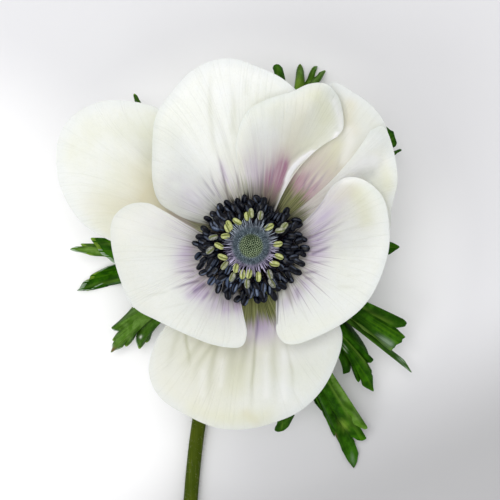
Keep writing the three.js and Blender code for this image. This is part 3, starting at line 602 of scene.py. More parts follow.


# an anther one unit long along z: blunt at both ends, grooved along its +y side, with a painted
# sheen, a paler stripe of painted highlight, on each side of the groove
def makePod(name):
    bm = bmesh.new()
    bmesh.ops.create_uvsphere(bm, u_segments=16, v_segments=9, radius=1)
    for layer in ("groove", "stripe"):
        bm.verts.layers.float.new(layer)
    groove, stripe = bm.verts.layers.float["groove"], bm.verts.layers.float["stripe"]
    for vert in bm.verts:
        x, y, z = vert.co
        girth = math.hypot(x, y)
        if girth > 1e-4:
            dent = max(0.0, y / girth) ** 14
            turn = math.degrees(math.atan2(x, y))
            full = (1 - abs(z) ** 2.8) ** 0.5
            vert.co.x = x / girth * full
            vert.co.y = y / girth * full * (1 - 0.35 * dent)
            vert[groove] = dent
            band = bell((turn - 38) / 22) + 0.35 * bell((turn + 55) / 18)
            vert[stripe] = band * (1 - abs(z) ** 3)
        vert.co.z = 0.5 + 0.5 * z
    return keepShape(name, bm)


# copies a rod or a pod along a line of points; a mesh gets its copies before anything is
# merged in it, so that they are its last vertices
def layAlong(bm, shape, points, radii, tints, side=None, flat=1.0):
    first = len(bm.verts)
    bm.from_mesh(shape)
    bm.verts.ensure_lookup_table()
    tint = bm.verts.layers.float["tint"]
    for vert in bm.verts[first:]:
        share = min(1.0, max(0.0, vert.co.z))
        ahead, behind = blend(points, min(1.0, share + 0.1)), blend(points, max(0.0, share - 0.1))
        way = (ahead - behind).normalized()
        across = Vector((-way.y, way.x, 1e-6)).normalized() if side is None else side
        up = way.cross(across).normalized()
        offset = across * vert.co.x + up * (vert.co.y * flat)
        vert.co = place(*(blend(points, share) + offset * blend(radii, share)))
        vert[tint] = blend(tints, share)


def addRing(bm, radius, height, thick):
    centre = place(0, 0, height)
    turn = Matrix.Rotation(math.pi / 2, 4, "X")
    move = Matrix.Translation(centre + Vector((radius * mm, 0, 0)))
    loop = bmesh.ops.create_circle(bm, segments=10, radius=thick * mm, matrix=move @ turn)
    edges = list({edge for vert in loop["verts"] for edge in vert.link_edges})
    bmesh.ops.spin(bm, geom=loop["verts"] + edges, cent=centre, axis=(0, 0, 1),
                   angle=2 * math.pi, steps=48, use_merge=True)


def curvePoints(a, b, c):
    return [a.lerp(b, t).lerp(b.lerp(c, t), t) for t in (0, 0.25, 0.5, 0.75, 1)]


stamens = dict(
    # how far the dark ring reaches from the axis, every 22.5 degrees, in mm
    reach=[
        14.1, 13.6, 13.4, 12, 12.7, 12.2, 13, 13.2, 14.2, 14.1, 14.1, 14, 14.3, 14.2, 13.3, 13.7,
    ],
    notch=(55, 7, 2.6),  # the ring's gap: heading, half width in degrees and depth
    brightSide=215,  # the heading from which the anthers are painted lighter and glossier, as painted light on that side
    # how far each row lies inside the ring's edge, its height, and how many stand in it
    rows=[
        (0, 30.6, 34), (1.2, 31.2, 34), (2.3, 31.7, 30), (3.4, 31.9, 25), (4.5, 31.6, 18), (5.4, 31, 12),
    ],
    length=2.65, width=1.72, paleLength=2.35, paleWidth=1.45, flat=0.8, stalk=0.17,
    root=(5.7, 27.9), paleRoot=(4.1, 28.3),  # from the axis, and height
    ring=(5.6, 27.6, 0.65), paleRing=(4.05, 28.2, 0.4),  # radius, height, thickness
    paleHeights=(33.2, 32.9),  # of those near the pistil and of those further out
    yaw=36, roll=0.9, hook=0.12,  # how untidy they are
    # heading and distance from the axis of each pale anther, and how grey it is
    pale=[
        (98, 7.1, 0), (120, 6.6, 0), (136, 7.1, 0), (143, 7.0, 0.1), (159, 6.5, 0), (180, 7.6, 0),
        (202, 7.3, 0), (235, 6.4, 0), (254, 7.0, 0), (267, 6.6, 0), (284, 7.5, 0), (323, 7.0, 0),
        (340, 7.1, 0), (3, 6.4, 0), (46, 6.2, 0), (90, 7.8, 0.5), (73, 7.6, 0.8), (167, 9.2, 0.9),
        (186, 9.8, 0.9), (216, 7.8, 0.6), (239, 8.6, 0.7), (264, 9, 0.8), (28, 7.8, 0.7),
        (31, 9.1, 0.6), (303, 8.1, 0.9), (299, 10.2, 0.9),
    ],
    darkColors=dict(
        navy=(0.001, 0.0015, 0.004), dust=(0.006, 0.009, 0.02), bright=(0.04, 0.06, 0.11),
        stalk=(0.006, 0.003, 0.008), stripe=(0.17, 0.21, 0.3), groove=(0.0, 0.0, 0.001),
    ),
    paleColors=dict(
        fresh=(0.32, 0.36, 0.1), freshDust=(0.52, 0.54, 0.27), spent=(0.1, 0.11, 0.09),
        spentDust=(0.34, 0.34, 0.3), groove=(0.11, 0.13, 0.02), stalk=(0.02, 0.01, 0.02),
    ),
)


def reachAt(angle):
    share = (angle % 360) / 22.5
    i = int(share)
    reach = stamens["reach"]
    middle, width, depth = stamens["notch"]
    notch = depth * bell(turnBetween(angle, middle) / width)
    return reach[i % 16] + (share - i) * (reach[(i + 1) % 16] - reach[i % 16]) - notch


rodShape = makeRod("rod_shape", 5, 3)
podShape = makePod("pod_shape")


def addStamen(bm, rng, angle, root, tip, tilt, length, width, tint):
    out = heading(angle)
    yaw = math.radians(angle + rng.uniform(-stamens["yaw"], stamens["yaw"]))
    rise = math.radians(tilt)
    way = Vector((math.cos(yaw) * math.cos(rise), math.sin(yaw) * math.cos(rise), math.sin(rise)))
    side = Vector((-way.y, way.x, 0)).normalized()
    side = Matrix.Rotation(rng.uniform(-stamens["roll"], stamens["roll"]), 3, way) @ side
    start, centre = (Vector((out.x * away, out.y * away, height)) for away, height in (root, tip))
    base = centre - way * (0.5 * length)
    knee = base - way * 0.9 + Vector((0, 0, -0.2))
    layAlong(bm, rodShape, curvePoints(start, knee, base + way * 0.3), [stamens["stalk"]] * 2, [-1.0] * 2)
    hook = side * (rng.uniform(-stamens["hook"], stamens["hook"]) * length)
    points = [base + way * (length * share) + hook * share ** 2 for share in (0, 0.5, 1)]
    layAlong(bm, podShape, points, [0.5 * width] * 2, [tint] * 2, side, stamens["flat"])


def darkMaterial():
    n = Nodes("anther_navy")
    colors = stamens["darkColors"]
    tint = n.attribute("tint")
    dust = n.noise(n.place(), 2600.0, 3, 0.6)
    shine = n.times(n.ramp(n.attribute("stripe"), 0.1, 0.9), n.ramp(tint, 0.1, 1, 0.15, 1))
    navy = n.mix(n.ramp(dust, 0.4, 0.8), colors["navy"], colors["dust"])
    color = n.coat(
        navy, colors,
        # painted light: a lighter blue on anthers of high tint, which lie on the lit side
        bright=n.ramp(tint, 0.6, 0.9),
        stalk=n.ramp(tint, -0.2, -0.8),
        # painted sheen: a highlight painted along the stripes, strongest on anthers of high tint
        stripe=n.times(shine, n.ramp(dust, 0.3, 0.65, 0.35, 1)),
        groove=n.ramp(n.attribute("groove"), 0.3, 0.8),
    )
    n.bump(dust, 0.3, 0.1)
    return n.finish(color, Roughness=0.27, Specular_IOR_Level=0.16)


def paleMaterial():
    n = Nodes("anther_yellow")
    colors = stamens["paleColors"]
    tint = n.attribute("tint")
    dust = n.noise(n.place(), 2200.0, 3, 0.6)
    dusty = n.ramp(dust, 0.35, 0.7)
    fresh = n.mix(dusty, colors["fresh"], colors["freshDust"])
    spent = n.mix(dusty, colors["spent"], colors["spentDust"])
    color = n.coat(
        n.mix(n.ramp(tint, 0.1, 0.9), fresh, spent), colors,
        groove=n.ramp(n.attribute("groove"), 0.2, 0.8),
        stalk=n.ramp(tint, -0.2, -0.8),
    )
    n.bump(dust, 0.3, 0.1)
    return n.finish(color, Roughness=0.55, Specular_IOR_Level=0.3)


def buildStamens():
    rng = random.Random(21)
    bm = bmesh.new()
    for index, (inset, z, count) in enumerate(stamens["rows"]):
        for i in range(count):
            angle = (i + 0.5 * (index % 2) + rng.uniform(-0.3, 0.3)) * 360 / count
            distance = reachAt(angle) - inset - 0.5 * stamens["length"] + rng.uniform(-0.35, 0.35)
            tilt = 4 - 4 * index + rng.uniform(-22, 22)
            length = stamens["length"] * rng.uniform(0.85, 1.08)
            tip = (distance, z + rng.uniform(-0.3, 0.3))
            width = stamens["width"] * rng.uniform(0.85, 1.05)
            # anthers facing that heading get a higher tint: painted light on that side, on top of a random
            # tone
            facing = 0.5 + 0.5 * math.cos(math.radians(angle - stamens["brightSide"]))
            tint = rng.random() * (0.35 + 0.65 * facing)
            addStamen(bm, rng, angle, stamens["root"], tip, tilt, length, width, tint)
    addRing(bm, *stamens["ring"])
    bmesh.ops.recalc_face_normals(bm, faces=bm.faces)
    dark = addObject("stamens_navy", bm, darkMaterial())
    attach(dark, "root")
    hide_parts("stamens_dark")

    bm = bmesh.new()
    for angle, distance, grey in stamens["pale"]:
        tip = (distance, stamens["paleHeights"][distance >= 8])
        tilt = rng.uniform(-4, 10)
        length = stamens["paleLength"] * rng.uniform(0.95, 1.1)
        addStamen(bm, rng, angle, stamens["paleRoot"], tip, tilt, length, stamens["paleWidth"], grey)
    addRing(bm, *stamens["paleRing"])
    bmesh.ops.recalc_face_normals(bm, faces=bm.faces)
    pale = addObject("stamens_pale", bm, paleMaterial())
    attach(pale, "root")
    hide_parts("stamens_yellow")


buildStamens()
print("stamens built")


pistil = dict(
    radius=4.2, centre=32.0, squash=0.85,
    darkSpot=(-0.1, 2.0, 0.9),  # place and radius
    # how many dots, hairs of down and styles it has, how long they are, their radii from root to tip
    # and how bright each of these places is
    dots=170, dotLength=0.45, dotRadius=0.17,
    down=620, downLength=(0.8, 1.5), downRadii=[0.075, 0.07, 0.06, 0.045, 0.02],
    downTints=[0, 0.15, 0.5, 1, 1],
    styles=210, styleLength=(1.4, 2.9), styleRadii=[0.095, 0.095, 0.09, 0.08, 0.03],
    styleTints=[0, 0.3, 0.7, 1, 1],
    # each colour in its depth and at its tips
    green=((0.01, 0.026, 0.01), (0.37, 0.47, 0.28)),
    grey=((0.01, 0.018, 0.028), (0.27, 0.35, 0.41)),
    lilac=((0.015, 0.008, 0.05), (0.66, 0.6, 0.8)),
    blue=((0.01, 0.015, 0.03), (0.46, 0.53, 0.62)),
)
goldenAngle = 137.508


def pistilMaterial():
    n = Nodes("pistil_down")
    tint = n.attribute("tint")
    radius = n.awayFrom(0, 0)
    upper = n.ramp(n.axis(n.place(), "Y"), flowerY * mm - 0.002, flowerY * mm + 0.003)
    green, grey, lilac, blue = (n.mix(tint, *pistil[kind]) for kind in ("green", "grey", "lilac", "blue"))
    color = n.mix(n.ramp(radius, 2.4, 3.2), green, grey)
    color = n.mix(n.ramp(radius, 4.0, 5.0), color, n.mix(upper, lilac, blue))
    return n.finish(color, Roughness=0.6, Specular_IOR_Level=0.15)


stubShape = makeRod("stub_shape", 6, 1)


# a place on the pistil's dome, with the way straight out of it
def domePoint(height, angle):
    out = heading(angle)
    flatness = math.sqrt(1 - height * height)
    way = Vector((out.x * flatness, out.y * flatness, height))
    root = Vector((way.x, way.y, pistil["squash"] * way.z)) * pistil["radius"]
    root.z += pistil["centre"]
    return root, way


def addHair(bm, kind, root, way, middle, tip, glow):
    points = curvePoints(root - way * 0.2, middle, tip)
    radii, tints = pistil[kind + "Radii"], pistil[kind + "Tints"]
    layAlong(bm, rodShape, points, radii, [glow * tint for tint in tints])


def buildPistil():
    rng = random.Random(8)
    bm = bmesh.new()
    x, y, size = pistil["darkSpot"]
    for i in range(pistil["dots"]):
        root, way = domePoint(1 - 0.3 * (i + 0.5) / pistil["dots"], i * goldenAngle)
        tip = root + way * pistil["dotLength"]
        thick = pistil["dotRadius"] * rng.uniform(0.75, 1.1)
        glow = 1 - 0.75 * bell(math.dist((x, y), root.xy) / size)
        points = [root - way * 0.2, root.lerp(tip, 0.6), tip]
        layAlong(bm, stubShape, points, [thick, thick, 0.5 * thick], [0.0, 0.7 * glow, glow])
    for i in range(pistil["down"]):
        root, way = domePoint(0.86 - 0.8 * (i + 0.5) / pistil["down"], i * goldenAngle)
        flat = Vector((way.x, way.y, 0)).normalized()
        lean = (flat + Vector((0, 0, rng.uniform(0.25, 0.9)))).normalized()
        length = rng.uniform(*pistil["downLength"])
        middle = root + way * (0.5 * length)
        addHair(bm, "down", root, way, middle, root + lean * length, rng.uniform(0.35, 1))
    for i in range(pistil["styles"]):
        angle = i * 360 / pistil["styles"] + rng.uniform(-3, 3)
        root, way = domePoint(rng.uniform(-0.1, 0.4), angle)
        longer = 0.5 * max(0.0, -math.sin(math.radians(angle + 20)))
        length = rng.uniform(*pistil["styleLength"]) + longer
        glow = rng.choice((0.12, 0.3, 0.7, 0.9, 1))
        yaw = heading(angle + rng.uniform(-14, 14))
        rise = rng.uniform(-0.05, 0.45)
        middle = root + Vector((yaw.x, yaw.y, 0.35 + rise)) * (0.45 * length)
        addHair(bm, "style", root, way, middle, root + Vector((yaw.x, yaw.y, rise)) * length, glow)
    # the dome that the hairs stand on, and the neck under it
    shrink = Matrix.Diagonal((1, 1, 0.83 / 0.97, 1))
    dome = Matrix.Translation(place(0, 0, pistil["centre"])) @ shrink
    bmesh.ops.create_uvsphere(bm, u_segments=40, v_segments=20,
                              radius=0.97 * pistil["radius"] * mm, matrix=dome)
    bmesh.ops.create_cone(bm, cap_ends=True, segments=40, radius1=3.1 * mm, radius2=3.3 * mm,
                          depth=2.4 * mm, matrix=Matrix.Translation(place(0, 0, 29)))
    piece = addObject("pistil_styles", bm, pistilMaterial())
    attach(piece, "root")
    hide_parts("pistil")


buildPistil()
print("pistil built")


whorl = dict(
    height=15, rootRadius=4.8, rootHalfWidth=1.2, swell=0.02, thickness=0.36,
    columnsPerStep=5, rows=28,
    crimp=0.5, crimpScale=0.3, edgeLift=0.55, edgeWidth=1.6, midribWidth=0.06,
)
# a lobe: heading, height of its tip (0 lies on the ground), arch, keel, how light it is, painted as light
# shining through it, the place its lines spread from, and its outline in x, y; a spot: kind, place and
# radius
leaves = {}
leaves["leaf_left"] = dict(
    arc=(118, 238),
    spots=[("dry", -34.4, -25.9, 0.9), ("shine", -27.2, -22.5, 0.35)],
    lobes=[
        (130, 8, 1.5, 0.4, 0.2, (-27.4, 34.1), [-28.5, 34.5, -28.7, 36.2, -29, 37.4, -28.9, 37.7,
            -28.3, 37.2, -27.8, 36.2, -27, 34.9]),
        (176, 13, 1, 0.8, 0.1, None, [-33, -3.9, -33.9, -4, -34.7, -3.4, -35.9, -2.4, -36.6, -2.1,
            -37.4, -1.2, -38.1, 0, -38.9, 1, -39.4, 1.9, -38.4, 1.9, -37.6, 1.6, -36.9, 1.3, -35.9, 0.6,
            -35.2, -0.1, -34.4, -0.7]),
        (184, 9, 1, 0.4, 1, None, [-34.2, -3.1, -36.4, -2.4, -38.6, -2.3, -39.9, -2.1, -41.1, -1.7,
            -42.3, -1.4, -43.6, -1.2, -44.8, -0.8, -43.6, -0.3, -42.8, -0.2, -41.3, -0.4, -42.1, 0.5,
            -41.1, 0.4, -39.9, 0.3, -38.1, 0, -36.1, -0.5, -34.7, -1]),
        (196, 0, 2.5, 0.4, 0, None, [-32.6, -7.7, -34.2, -8.1, -35.4, -8.5, -36.7, -9, -37.9, -9.5,
            -39.2, -10.1, -40.4, -10.9, -40.9, -11.2, -41.7, -11.1, -42.9, -11.2, -43.7, -11.1,
            -43.2, -10.8, -42.7, -10.1, -42.2, -9.2, -41.7, -8.7, -40.9, -8.4, -40.4, -8.1, -40.4, -7.6,
            -39.9, -7.1, -39.2, -6.7, -37.9, -6, -36.7, -5.4, -35.4, -4.9, -34.2, -4.7, -33.1, -4.6]),
        (208, 5.6, 2, 0.3, 0.55, (-29.5, -17.6), [-31.1, -21.1, -32.7, -21.3, -33.4, -20.9, -34.1, -20.8,
            -34.6, -20.3, -33.8, -19.6, -33.1, -19, -32.1, -18.1, -31.4, -17.4, -30.6, -16.6,
            -29.4, -15.2]),
        (216, 5, 2, 0.3, 0.6, (-29.3, -18.8), [-28.2, -20.6, -28.5, -21.4, -29.1, -22.8, -29.9, -23.9,
            -30.6, -24.6, -31.1, -24.9, -31.5, -24.3, -32.1, -25.1, -32.9, -25.5, -33.9, -25.8,
            -34.8, -26.4, -34.4, -25.4, -34.4, -24.6, -34, -23.6, -34.4, -23.4, -34.1, -22.9, -33.4, -21.9,
            -32.7, -21.1, -31.6, -19.9]),
        (226, 4.6, 2, 0.3, 0.4, (-25.8, -19.1), [-23.4, -19.2, -23.9, -19.9, -24.4, -20.7, -24.8, -21.7,
            -25.1, -22.7, -25.4, -23.5, -26, -23.9, -26.4, -23.8, -26.7, -24.3, -27.2, -24.9, -27.8, -25.5,
            -28.2, -24.6, -28.5, -23.7, -28.5, -22.4, -28.3, -21.2, -27.9, -19.9]),
    ],
)
leaves["leaf_lower"] = dict(
    arc=(272, 342),
    spots=[("dry", 26.3, -55.2, 0.8), ("dry", 21, -47.4, 0.5), ("pale", 25.9, -53.3, 0.8),
        ("shine", 23.2, -25.1, 0.35), ("light", 23.1, -44.6, 1.2), ("pale", 31, -21.8, 0.4),
        ("pale", 31.8, -22.4, 0.5), ("pale", 32.6, -23, 0.6), ("pale", 33.4, -23.7, 0.75),
        ("pale", 34.2, -24.4, 0.85), ("pale", 35, -25.1, 0.8), ("pale", 37.2, -28.2, 0.7),
        ("pale", 39, -30.3, 0.9)],
    lobes=[
        (281, 7, 1.5, 0.4, 0.25, (9.6, -40.8), [10.7, -41.9, 9.9, -43.4, 9.2, -44.7, 8, -45.7, 6.7, -46,
            6, -45.7, 6.2, -44.8, 7.2, -43.8, 8.2, -42.4]),
        (293, 0, 3, 0.5, 0.12, None, [24.1, -45.7, 25.3, -47.7, 25.6, -48.4, 26.1, -49.4, 26.6, -50.9,
            27, -52, 26.8, -52.7, 26.6, -54, 26.3, -54.8, 25.8, -55.7, 25.1, -54.8, 24.4, -54, 23.7, -52.8,
            23.5, -51.7, 23.1, -50.2, 22.4, -48.9, 21.6, -47.2, 21.2, -46.6, 20.9, -47.9, 20.7, -45.7,
            20.4, -43.9, 19.9, -43.2, 18.6, -42, 17.3, -40.9, 16.1, -39.4]),
        (298, 2.5, 2, 0.5, 0.1, None, [24.5, -43, 25.5, -44.5, 26.3, -45.1, 27.3, -46, 28, -47,
            28.8, -48.1, 27.8, -48.6, 26.8, -48.5, 25.8, -47.9, 25.2, -47.5, 23.8, -46, 22.3, -44]),
        (302, 5, 1.5, 0.3, 0.7, None, [18.7, -33.1, 20.2, -35, 21.2, -36.2, 22.2, -37.6, 23.4, -39.1,
            24.7, -40.1, 25.9, -41.3, 27.2, -43, 28.4, -44.4, 29, -45.3, 28.4, -45.6, 27.2, -45.1,
            25.9, -44.4, 24.7, -43.4, 22.9, -41.6, 20.9, -39.6, 19.2, -38.1]),
        (311, 7, 2, 0.5, 0.08, (24.7, -22.7), [23.1, -17.9, 24.4, -19.3, 25.3, -20.6, 26.6, -22.3,
            27.8, -24.1, 28.6, -25.6, 29.2, -27.3, 29.8, -27.7, 30.3, -28.2, 29.8, -28.8, 28.7, -28.9,
            29.3, -30, 29.9, -31.1, 29.8, -31.8, 30.1, -32.3, 30.2, -35, 30.4, -36, 29.6, -35.6,
            28.6, -35.1, 27.8, -34.5, 27.5, -33.5, 27.2, -32.8, 26.7, -33.7, 26.2, -33, 25.7, -31.8,
            25.2, -30.5, 25, -29.3, 24.4, -26.8]),
        (306, 6.4, 2, 0.4, 0.15, (22.8, -23.5), [24.9, -26.8, 24.9, -28.3, 24.7, -30.1, 24.4, -31.2,
            23.6, -31.5, 23, -31.7, 23, -30.5, 22.8, -29.3, 22.5, -27.8, 21.9, -25.3]),
        (322, 8, 1, 0.2, 0.3, None, [27.5, -19.1, 29, -20.3, 30.8, -21.9, 32, -23.2, 33.2, -24.4,
            34.5, -25.8, 35.7, -27, 37, -27.6, 38.2, -28.7, 39.4, -30.7, 39.8, -31.3, 38.2, -29.7,
            37, -28.6, 35.7, -27.6, 34.5, -26.6, 33.2, -25.4, 32, -24.1, 30, -22.5, 28.3, -21.7, 27, -20.8,
            25.8, -19.6, 24.8, -18.2]),
        (326, 10, 1, 0.2, 0.9, None, [27.4, -18.5, 29.4, -20.2, 31.4, -21.2, 33.1, -22.2, 34.6, -23.7,
            35.4, -24.9, 34.6, -25.8, 33.4, -24.8, 31.9, -23.2, 30.7, -21.8, 28.9, -20.4, 27.4, -19]),
        (331, 12, 1.5, 0.5, 0.15, None, [24.4, -18, 25.6, -16.5, 26.9, -15.9, 29.3, -16, 31.8, -16.6,
            34.3, -17.2, 36, -17.7, 37.5, -18.1, 38, -18.5, 38.4, -18.9, 38, -19.7, 37.5, -19.9,
            35.7, -20.2, 36.7, -21.2, 38, -22.4, 37.7, -22.6, 37.2, -23.1, 37.2, -23.6, 36.5, -24,
            35.7, -24.4, 35.2, -25.1, 34.5, -24.1, 33, -22.8, 31.3, -21.7, 29.3, -20.7, 27.4, -19.2]),
    ],
)
leaves["leaf_upper"] = dict(
    arc=(-3, 92),
    spots=[("pale", 16.6, 45.1, 0.5), ("light", 12.3, 40.2, 1.5), ("dry", 12.3, 45.6, 0.5)],
    lobes=[
        (8, 9, 1.5, 0.4, 0.1, None, [34.2, 1, 35.4, 0.6, 36.8, -0.2, 35.7, -1, 34.2, -2]),
        (37, 8, 1.5, 0.5, 0.1, (32.6, 26.4), [33.5, 29.5, 34.5, 28.6, 35.2, 28.3, 35.5, 27.1, 36, 25.6,
            35.7, 24.8, 34.5, 24.3]),
        (33, 7, 1.5, 0.5, 0.1, (33.4, 21.8), [35, 23.3, 36, 23.6, 37, 24, 37.3, 23.8, 36.3, 23.3,
            35, 22.1]),
        (73, 0.8, 2.5, 0.4, 0.7, (11.7, 37.5), [10, 37.4, 10.9, 39.2, 11.3, 41.7, 11.5, 43.7, 11.8, 44.8,
            12.3, 45.6, 12.8, 44.8, 13.1, 43.7, 13.2, 42.2, 13.4, 40.7, 13.3, 38.4]),
        (69, 0, 2.5, 0.4, 0.75, (13.5, 38.3), [12.8, 38.7, 13.5, 41, 14.1, 42, 14.6, 43.3, 15.2, 44.5,
            15.8, 45.1, 16.7, 45.2, 16.5, 44.3, 16.1, 43.3, 15.9, 42.2, 16.1, 40.7]),
        (66, 0.6, 2.5, 0.4, 0.85, (14.2, 38.5), [14.3, 39.7, 15.3, 41.5, 16, 42.2, 16.6, 42.6, 17.3, 43.5,
            18.6, 44, 18.1, 43, 17.5, 41.8, 16.8, 41.1, 15.8, 39.7]),
        (82, 9, 1.5, 0.4, 0.2, (8.1, 39.9), [7.7, 41.3, 6.9, 42.5, 6.1, 43.4, 5.5, 44, 5.7, 44.6,
            6.2, 44.9, 6.9, 44.8, 7.6, 44.1, 7.9, 43.1, 8.2, 41.9, 8.4, 41]),
    ],
)


# the lighter green and its patch are painted backlight, as if light shone through the lobes
leafColors = dict(
    deep=(0.008, 0.05, 0.0), deepPatch=(0.03, 0.13, 0.0), paintedBacklit=(0.09, 0.21, 0.015),
    paintedBacklitPatch=(0.19, 0.32, 0.075), streak=(0.07, 0.19, 0.004), midrib=(0.13, 0.24, 0.03),
    edge=(0.006, 0.034, 0.0), light=(0.17, 0.29, 0.03), pale=(0.3, 0.4, 0.28),
    dry=(0.17, 0.1, 0.04), shine=(0.75, 0.8, 0.7),
)


def leafMaterial():
    n = Nodes("leaf_green")
    streaks = n.noise(n.stretch(n.veins(), (26, 1.6, 1)), 1.0, 4, 0.6)
    blotch = n.noise(n.place(), 420.0, 3, 0.6)
    patchy = n.ramp(blotch, 0.35, 0.7)
    edge = n.attribute("edge")
    deep = n.mix(patchy, leafColors["deep"], leafColors["deepPatch"])
    # the lighter green is painted light, as if light shone through the lobe from behind
    paintedBacklit = n.mix(patchy, leafColors["paintedBacklit"], leafColors["paintedBacklitPatch"])
    color = n.coat(
        n.mix(n.ramp(n.attribute("tint"), 0, 1), deep, paintedBacklit), leafColors,
        streak=n.ramp(streaks, 0.5, 0.7, 0, 0.55),
        midrib=n.times(n.attribute("midrib"), 0.6),
        edge=n.times(edge, 0.7),
        light=n.attribute("light"),
        # a silvery torn patch along a lobe's margin, and a spot of painted glare near a lobe tip
        pale=n.times(n.attribute("pale"), n.ramp(streaks, 0.4, 0.6, 0.3, 0.9)),
        dry=n.attribute("dry"),
        # painted glint: small bright spots of reflected light
        shine=n.attribute("shine"),
    )
    grain = n.minus(n.plus(streaks, n.times(blotch, 0.5)), 0.75)
    n.bump(n.times(grain, n.ramp(edge, 0.35, 0.02)), 0.8, 0.6)
    return n.finish(color, Roughness=0.55, Specular_IOR_Level=0.04)


def lobeLine(lobe, u):
    turn, _, _, _, _, base, rim = lobe
    out, side = heading(turn), heading(turn - 90)
    start = out * whorl["rootRadius"] + side * (whorl["rootHalfWidth"] * u)
    end, _ = alongLine(pairs(rim), (u + 1) / 2, 0.3)
    if base:
        return start, start.lerp(Vector(base), 0.6), end.lerp(Vector(base), 0.6), end
    length = (end - start).length
    first = start + out * (0.4 * length) + side * (whorl["swell"] * u * length)
    second = end.lerp(start, 0.3) + side * (0.5 * whorl["swell"] * u * length)
    return start, first, second, end


def addLobe(bm, layers, leaf, lobe, seed):
    _, tipHeight, arch, keel, light, _, rim = lobe
    rimLine = [Vector(point) for point in pairs(rim)]
    landing, tipZ = (1.0, tipHeight) if tipHeight else (0.82, 0.2)
    columns = whorl["columnsPerStep"] * (len(rimLine) - 1)
    grid = spreadGrid(bm, columns, whorl["rows"], lambda u: lobeLine(lobe, u), seed)
    for vert, u, v, at in grid:
        t = min(1.0, v / landing)
        z = tipZ + (whorl["height"] - tipZ) * math.cos(0.5 * math.pi * t)
        z += (arch + keel * 2 * abs(u)) * max(0.0, math.sin(math.pi * t)) ** 1.5
        z += whorl["crimp"] * rippleAt(at, whorl["crimpScale"], seed * 5.1) * math.sin(math.pi * t)
        edge = smooth(whorl["edgeWidth"], 0, lineDistance(rimLine, at)) if v > 0.45 else 0.0
        z += whorl["edgeLift"] * edge
        vert.co = place(at.x, at.y, z)
        vert[layers["tint"]] = light
        vert[layers["edge"]] = edge ** 3
        vert[layers["midrib"]] = bell(u / whorl["midribWidth"]) * smooth(1, 0.85, v)
        for kind, x, y, radius in leaf["spots"]:
            vert[layers[kind]] = max(vert[layers[kind]], bell(math.dist((x, y), at) / radius))


def buildLeaf(name, leaf, material):
    bm, layers = startSheet(("tint", "edge", "midrib", "light", "pale", "dry", "shine"))
    for seed, lobe in enumerate(leaf["lobes"]):
        addLobe(bm, layers, leaf, lobe, seed)
    # its base goes round the stem
    low, high = leaf["arc"]
    for vert in bmesh.ops.create_grid(bm, x_segments=30, y_segments=6, size=0.5)["verts"]:
        share = 0.5 - vert.co.y
        turn = heading(low + (high - low) * (vert.co.x + 0.5)) * (2.2 + 3.9 * share)
        vert[layers["tint"]] = 0.4
        vert.co = place(turn.x, turn.y, whorl["height"] + 0.5 * (1 - share) ** 2)
    piece = addObject(name + "_blade", bm, material, True)
    thicken(piece, whorl["thickness"], 1, [])
    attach(piece, "root")
    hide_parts(name)


leafSkin = leafMaterial()
for name, leaf in leaves.items():
    buildLeaf(name, leaf, leafSkin)
print("leaves built")


stem = dict(
    radius=1.8, bendTop=13, bendHeading=249, bendSteps=14, groundSteps=60,
    # where it lies on the ground, in x, y
    course=[(-9.4, -25), (-13.1, -44.8), (-15.1, -63.6), (-16.6, -90), (-16.4, -120), (-13.5, -152)],
    # height and radius of the head under the bloom, from the top
    head=[
        (27.5, 3.4), (27.2, 4.2), (26.6, 4.55), (25.5, 4.6), (23, 4.6), (22, 4.3), (21.3, 3.6),
        (20.4, 2.8), (19.5, 2.3), (18.4, 1.95), (17.2, 1.8), (16, 1.8), (14.8, 1.8),
    ],
    hairs=2600, hairRadii=[0.035, 0.008], hairLength=(0.5, 1.0), ribs=7, ribDepth=0.025,
    colors=dict(
        deep=(0.035, 0.058, 0.002), patch=(0.065, 0.088, 0.004), rib=(0.1, 0.13, 0.012),
        hair=(0.35, 0.37, 0.26),
    ),
)


def stemMaterial():
    n = Nodes("stem_green")
    colors = stem["colors"]
    ribs = n.noise(n.stretch(n.place(), (1600, 60, 1600)), 1.0, 2, 0.5)
    blotch = n.noise(n.place(), 120.0, 3, 0.5)
    color = n.coat(
        n.mix(n.ramp(blotch, 0.3, 0.7), colors["deep"], colors["patch"]), colors,
        rib=n.ramp(ribs, 0.5, 0.7, 0, 0.4),
        hair=n.ramp(n.attribute("tint"), 0.4, 0.9),
    )
    n.bump(ribs, 0.3, 0.3)
    return n.finish(color, Roughness=0.5, Specular_IOR_Level=0.04)


# places along the stem with their radii: its head, the bend under it and the length on the ground
def stemPath():
    path = [(Vector((0, 0, z)), radius) for z, radius in stem["head"]]
    bend = heading(stem["bendHeading"])
    size = stem["bendTop"] - stem["radius"]
    for i in range(stem["bendSteps"] + 1):
        angle = 0.5 * math.pi * i / stem["bendSteps"]
        reach = size * (1 - math.cos(angle))
        z = stem["bendTop"] - size * math.sin(angle)
        path.append((Vector((bend.x * reach, bend.y * reach, z)), stem["radius"]))
    foot = path[-1][0]
    course = [(foot.x, foot.y), *stem["course"]]
    for i in range(stem["groundSteps"]):
        at, _ = alongLine(course, (i + 1) / stem["groundSteps"])
        path.append((Vector((at.x, at.y, stem["radius"])), stem["radius"]))
    return path


hairShape = makeRod("hair_shape", 3, 0)


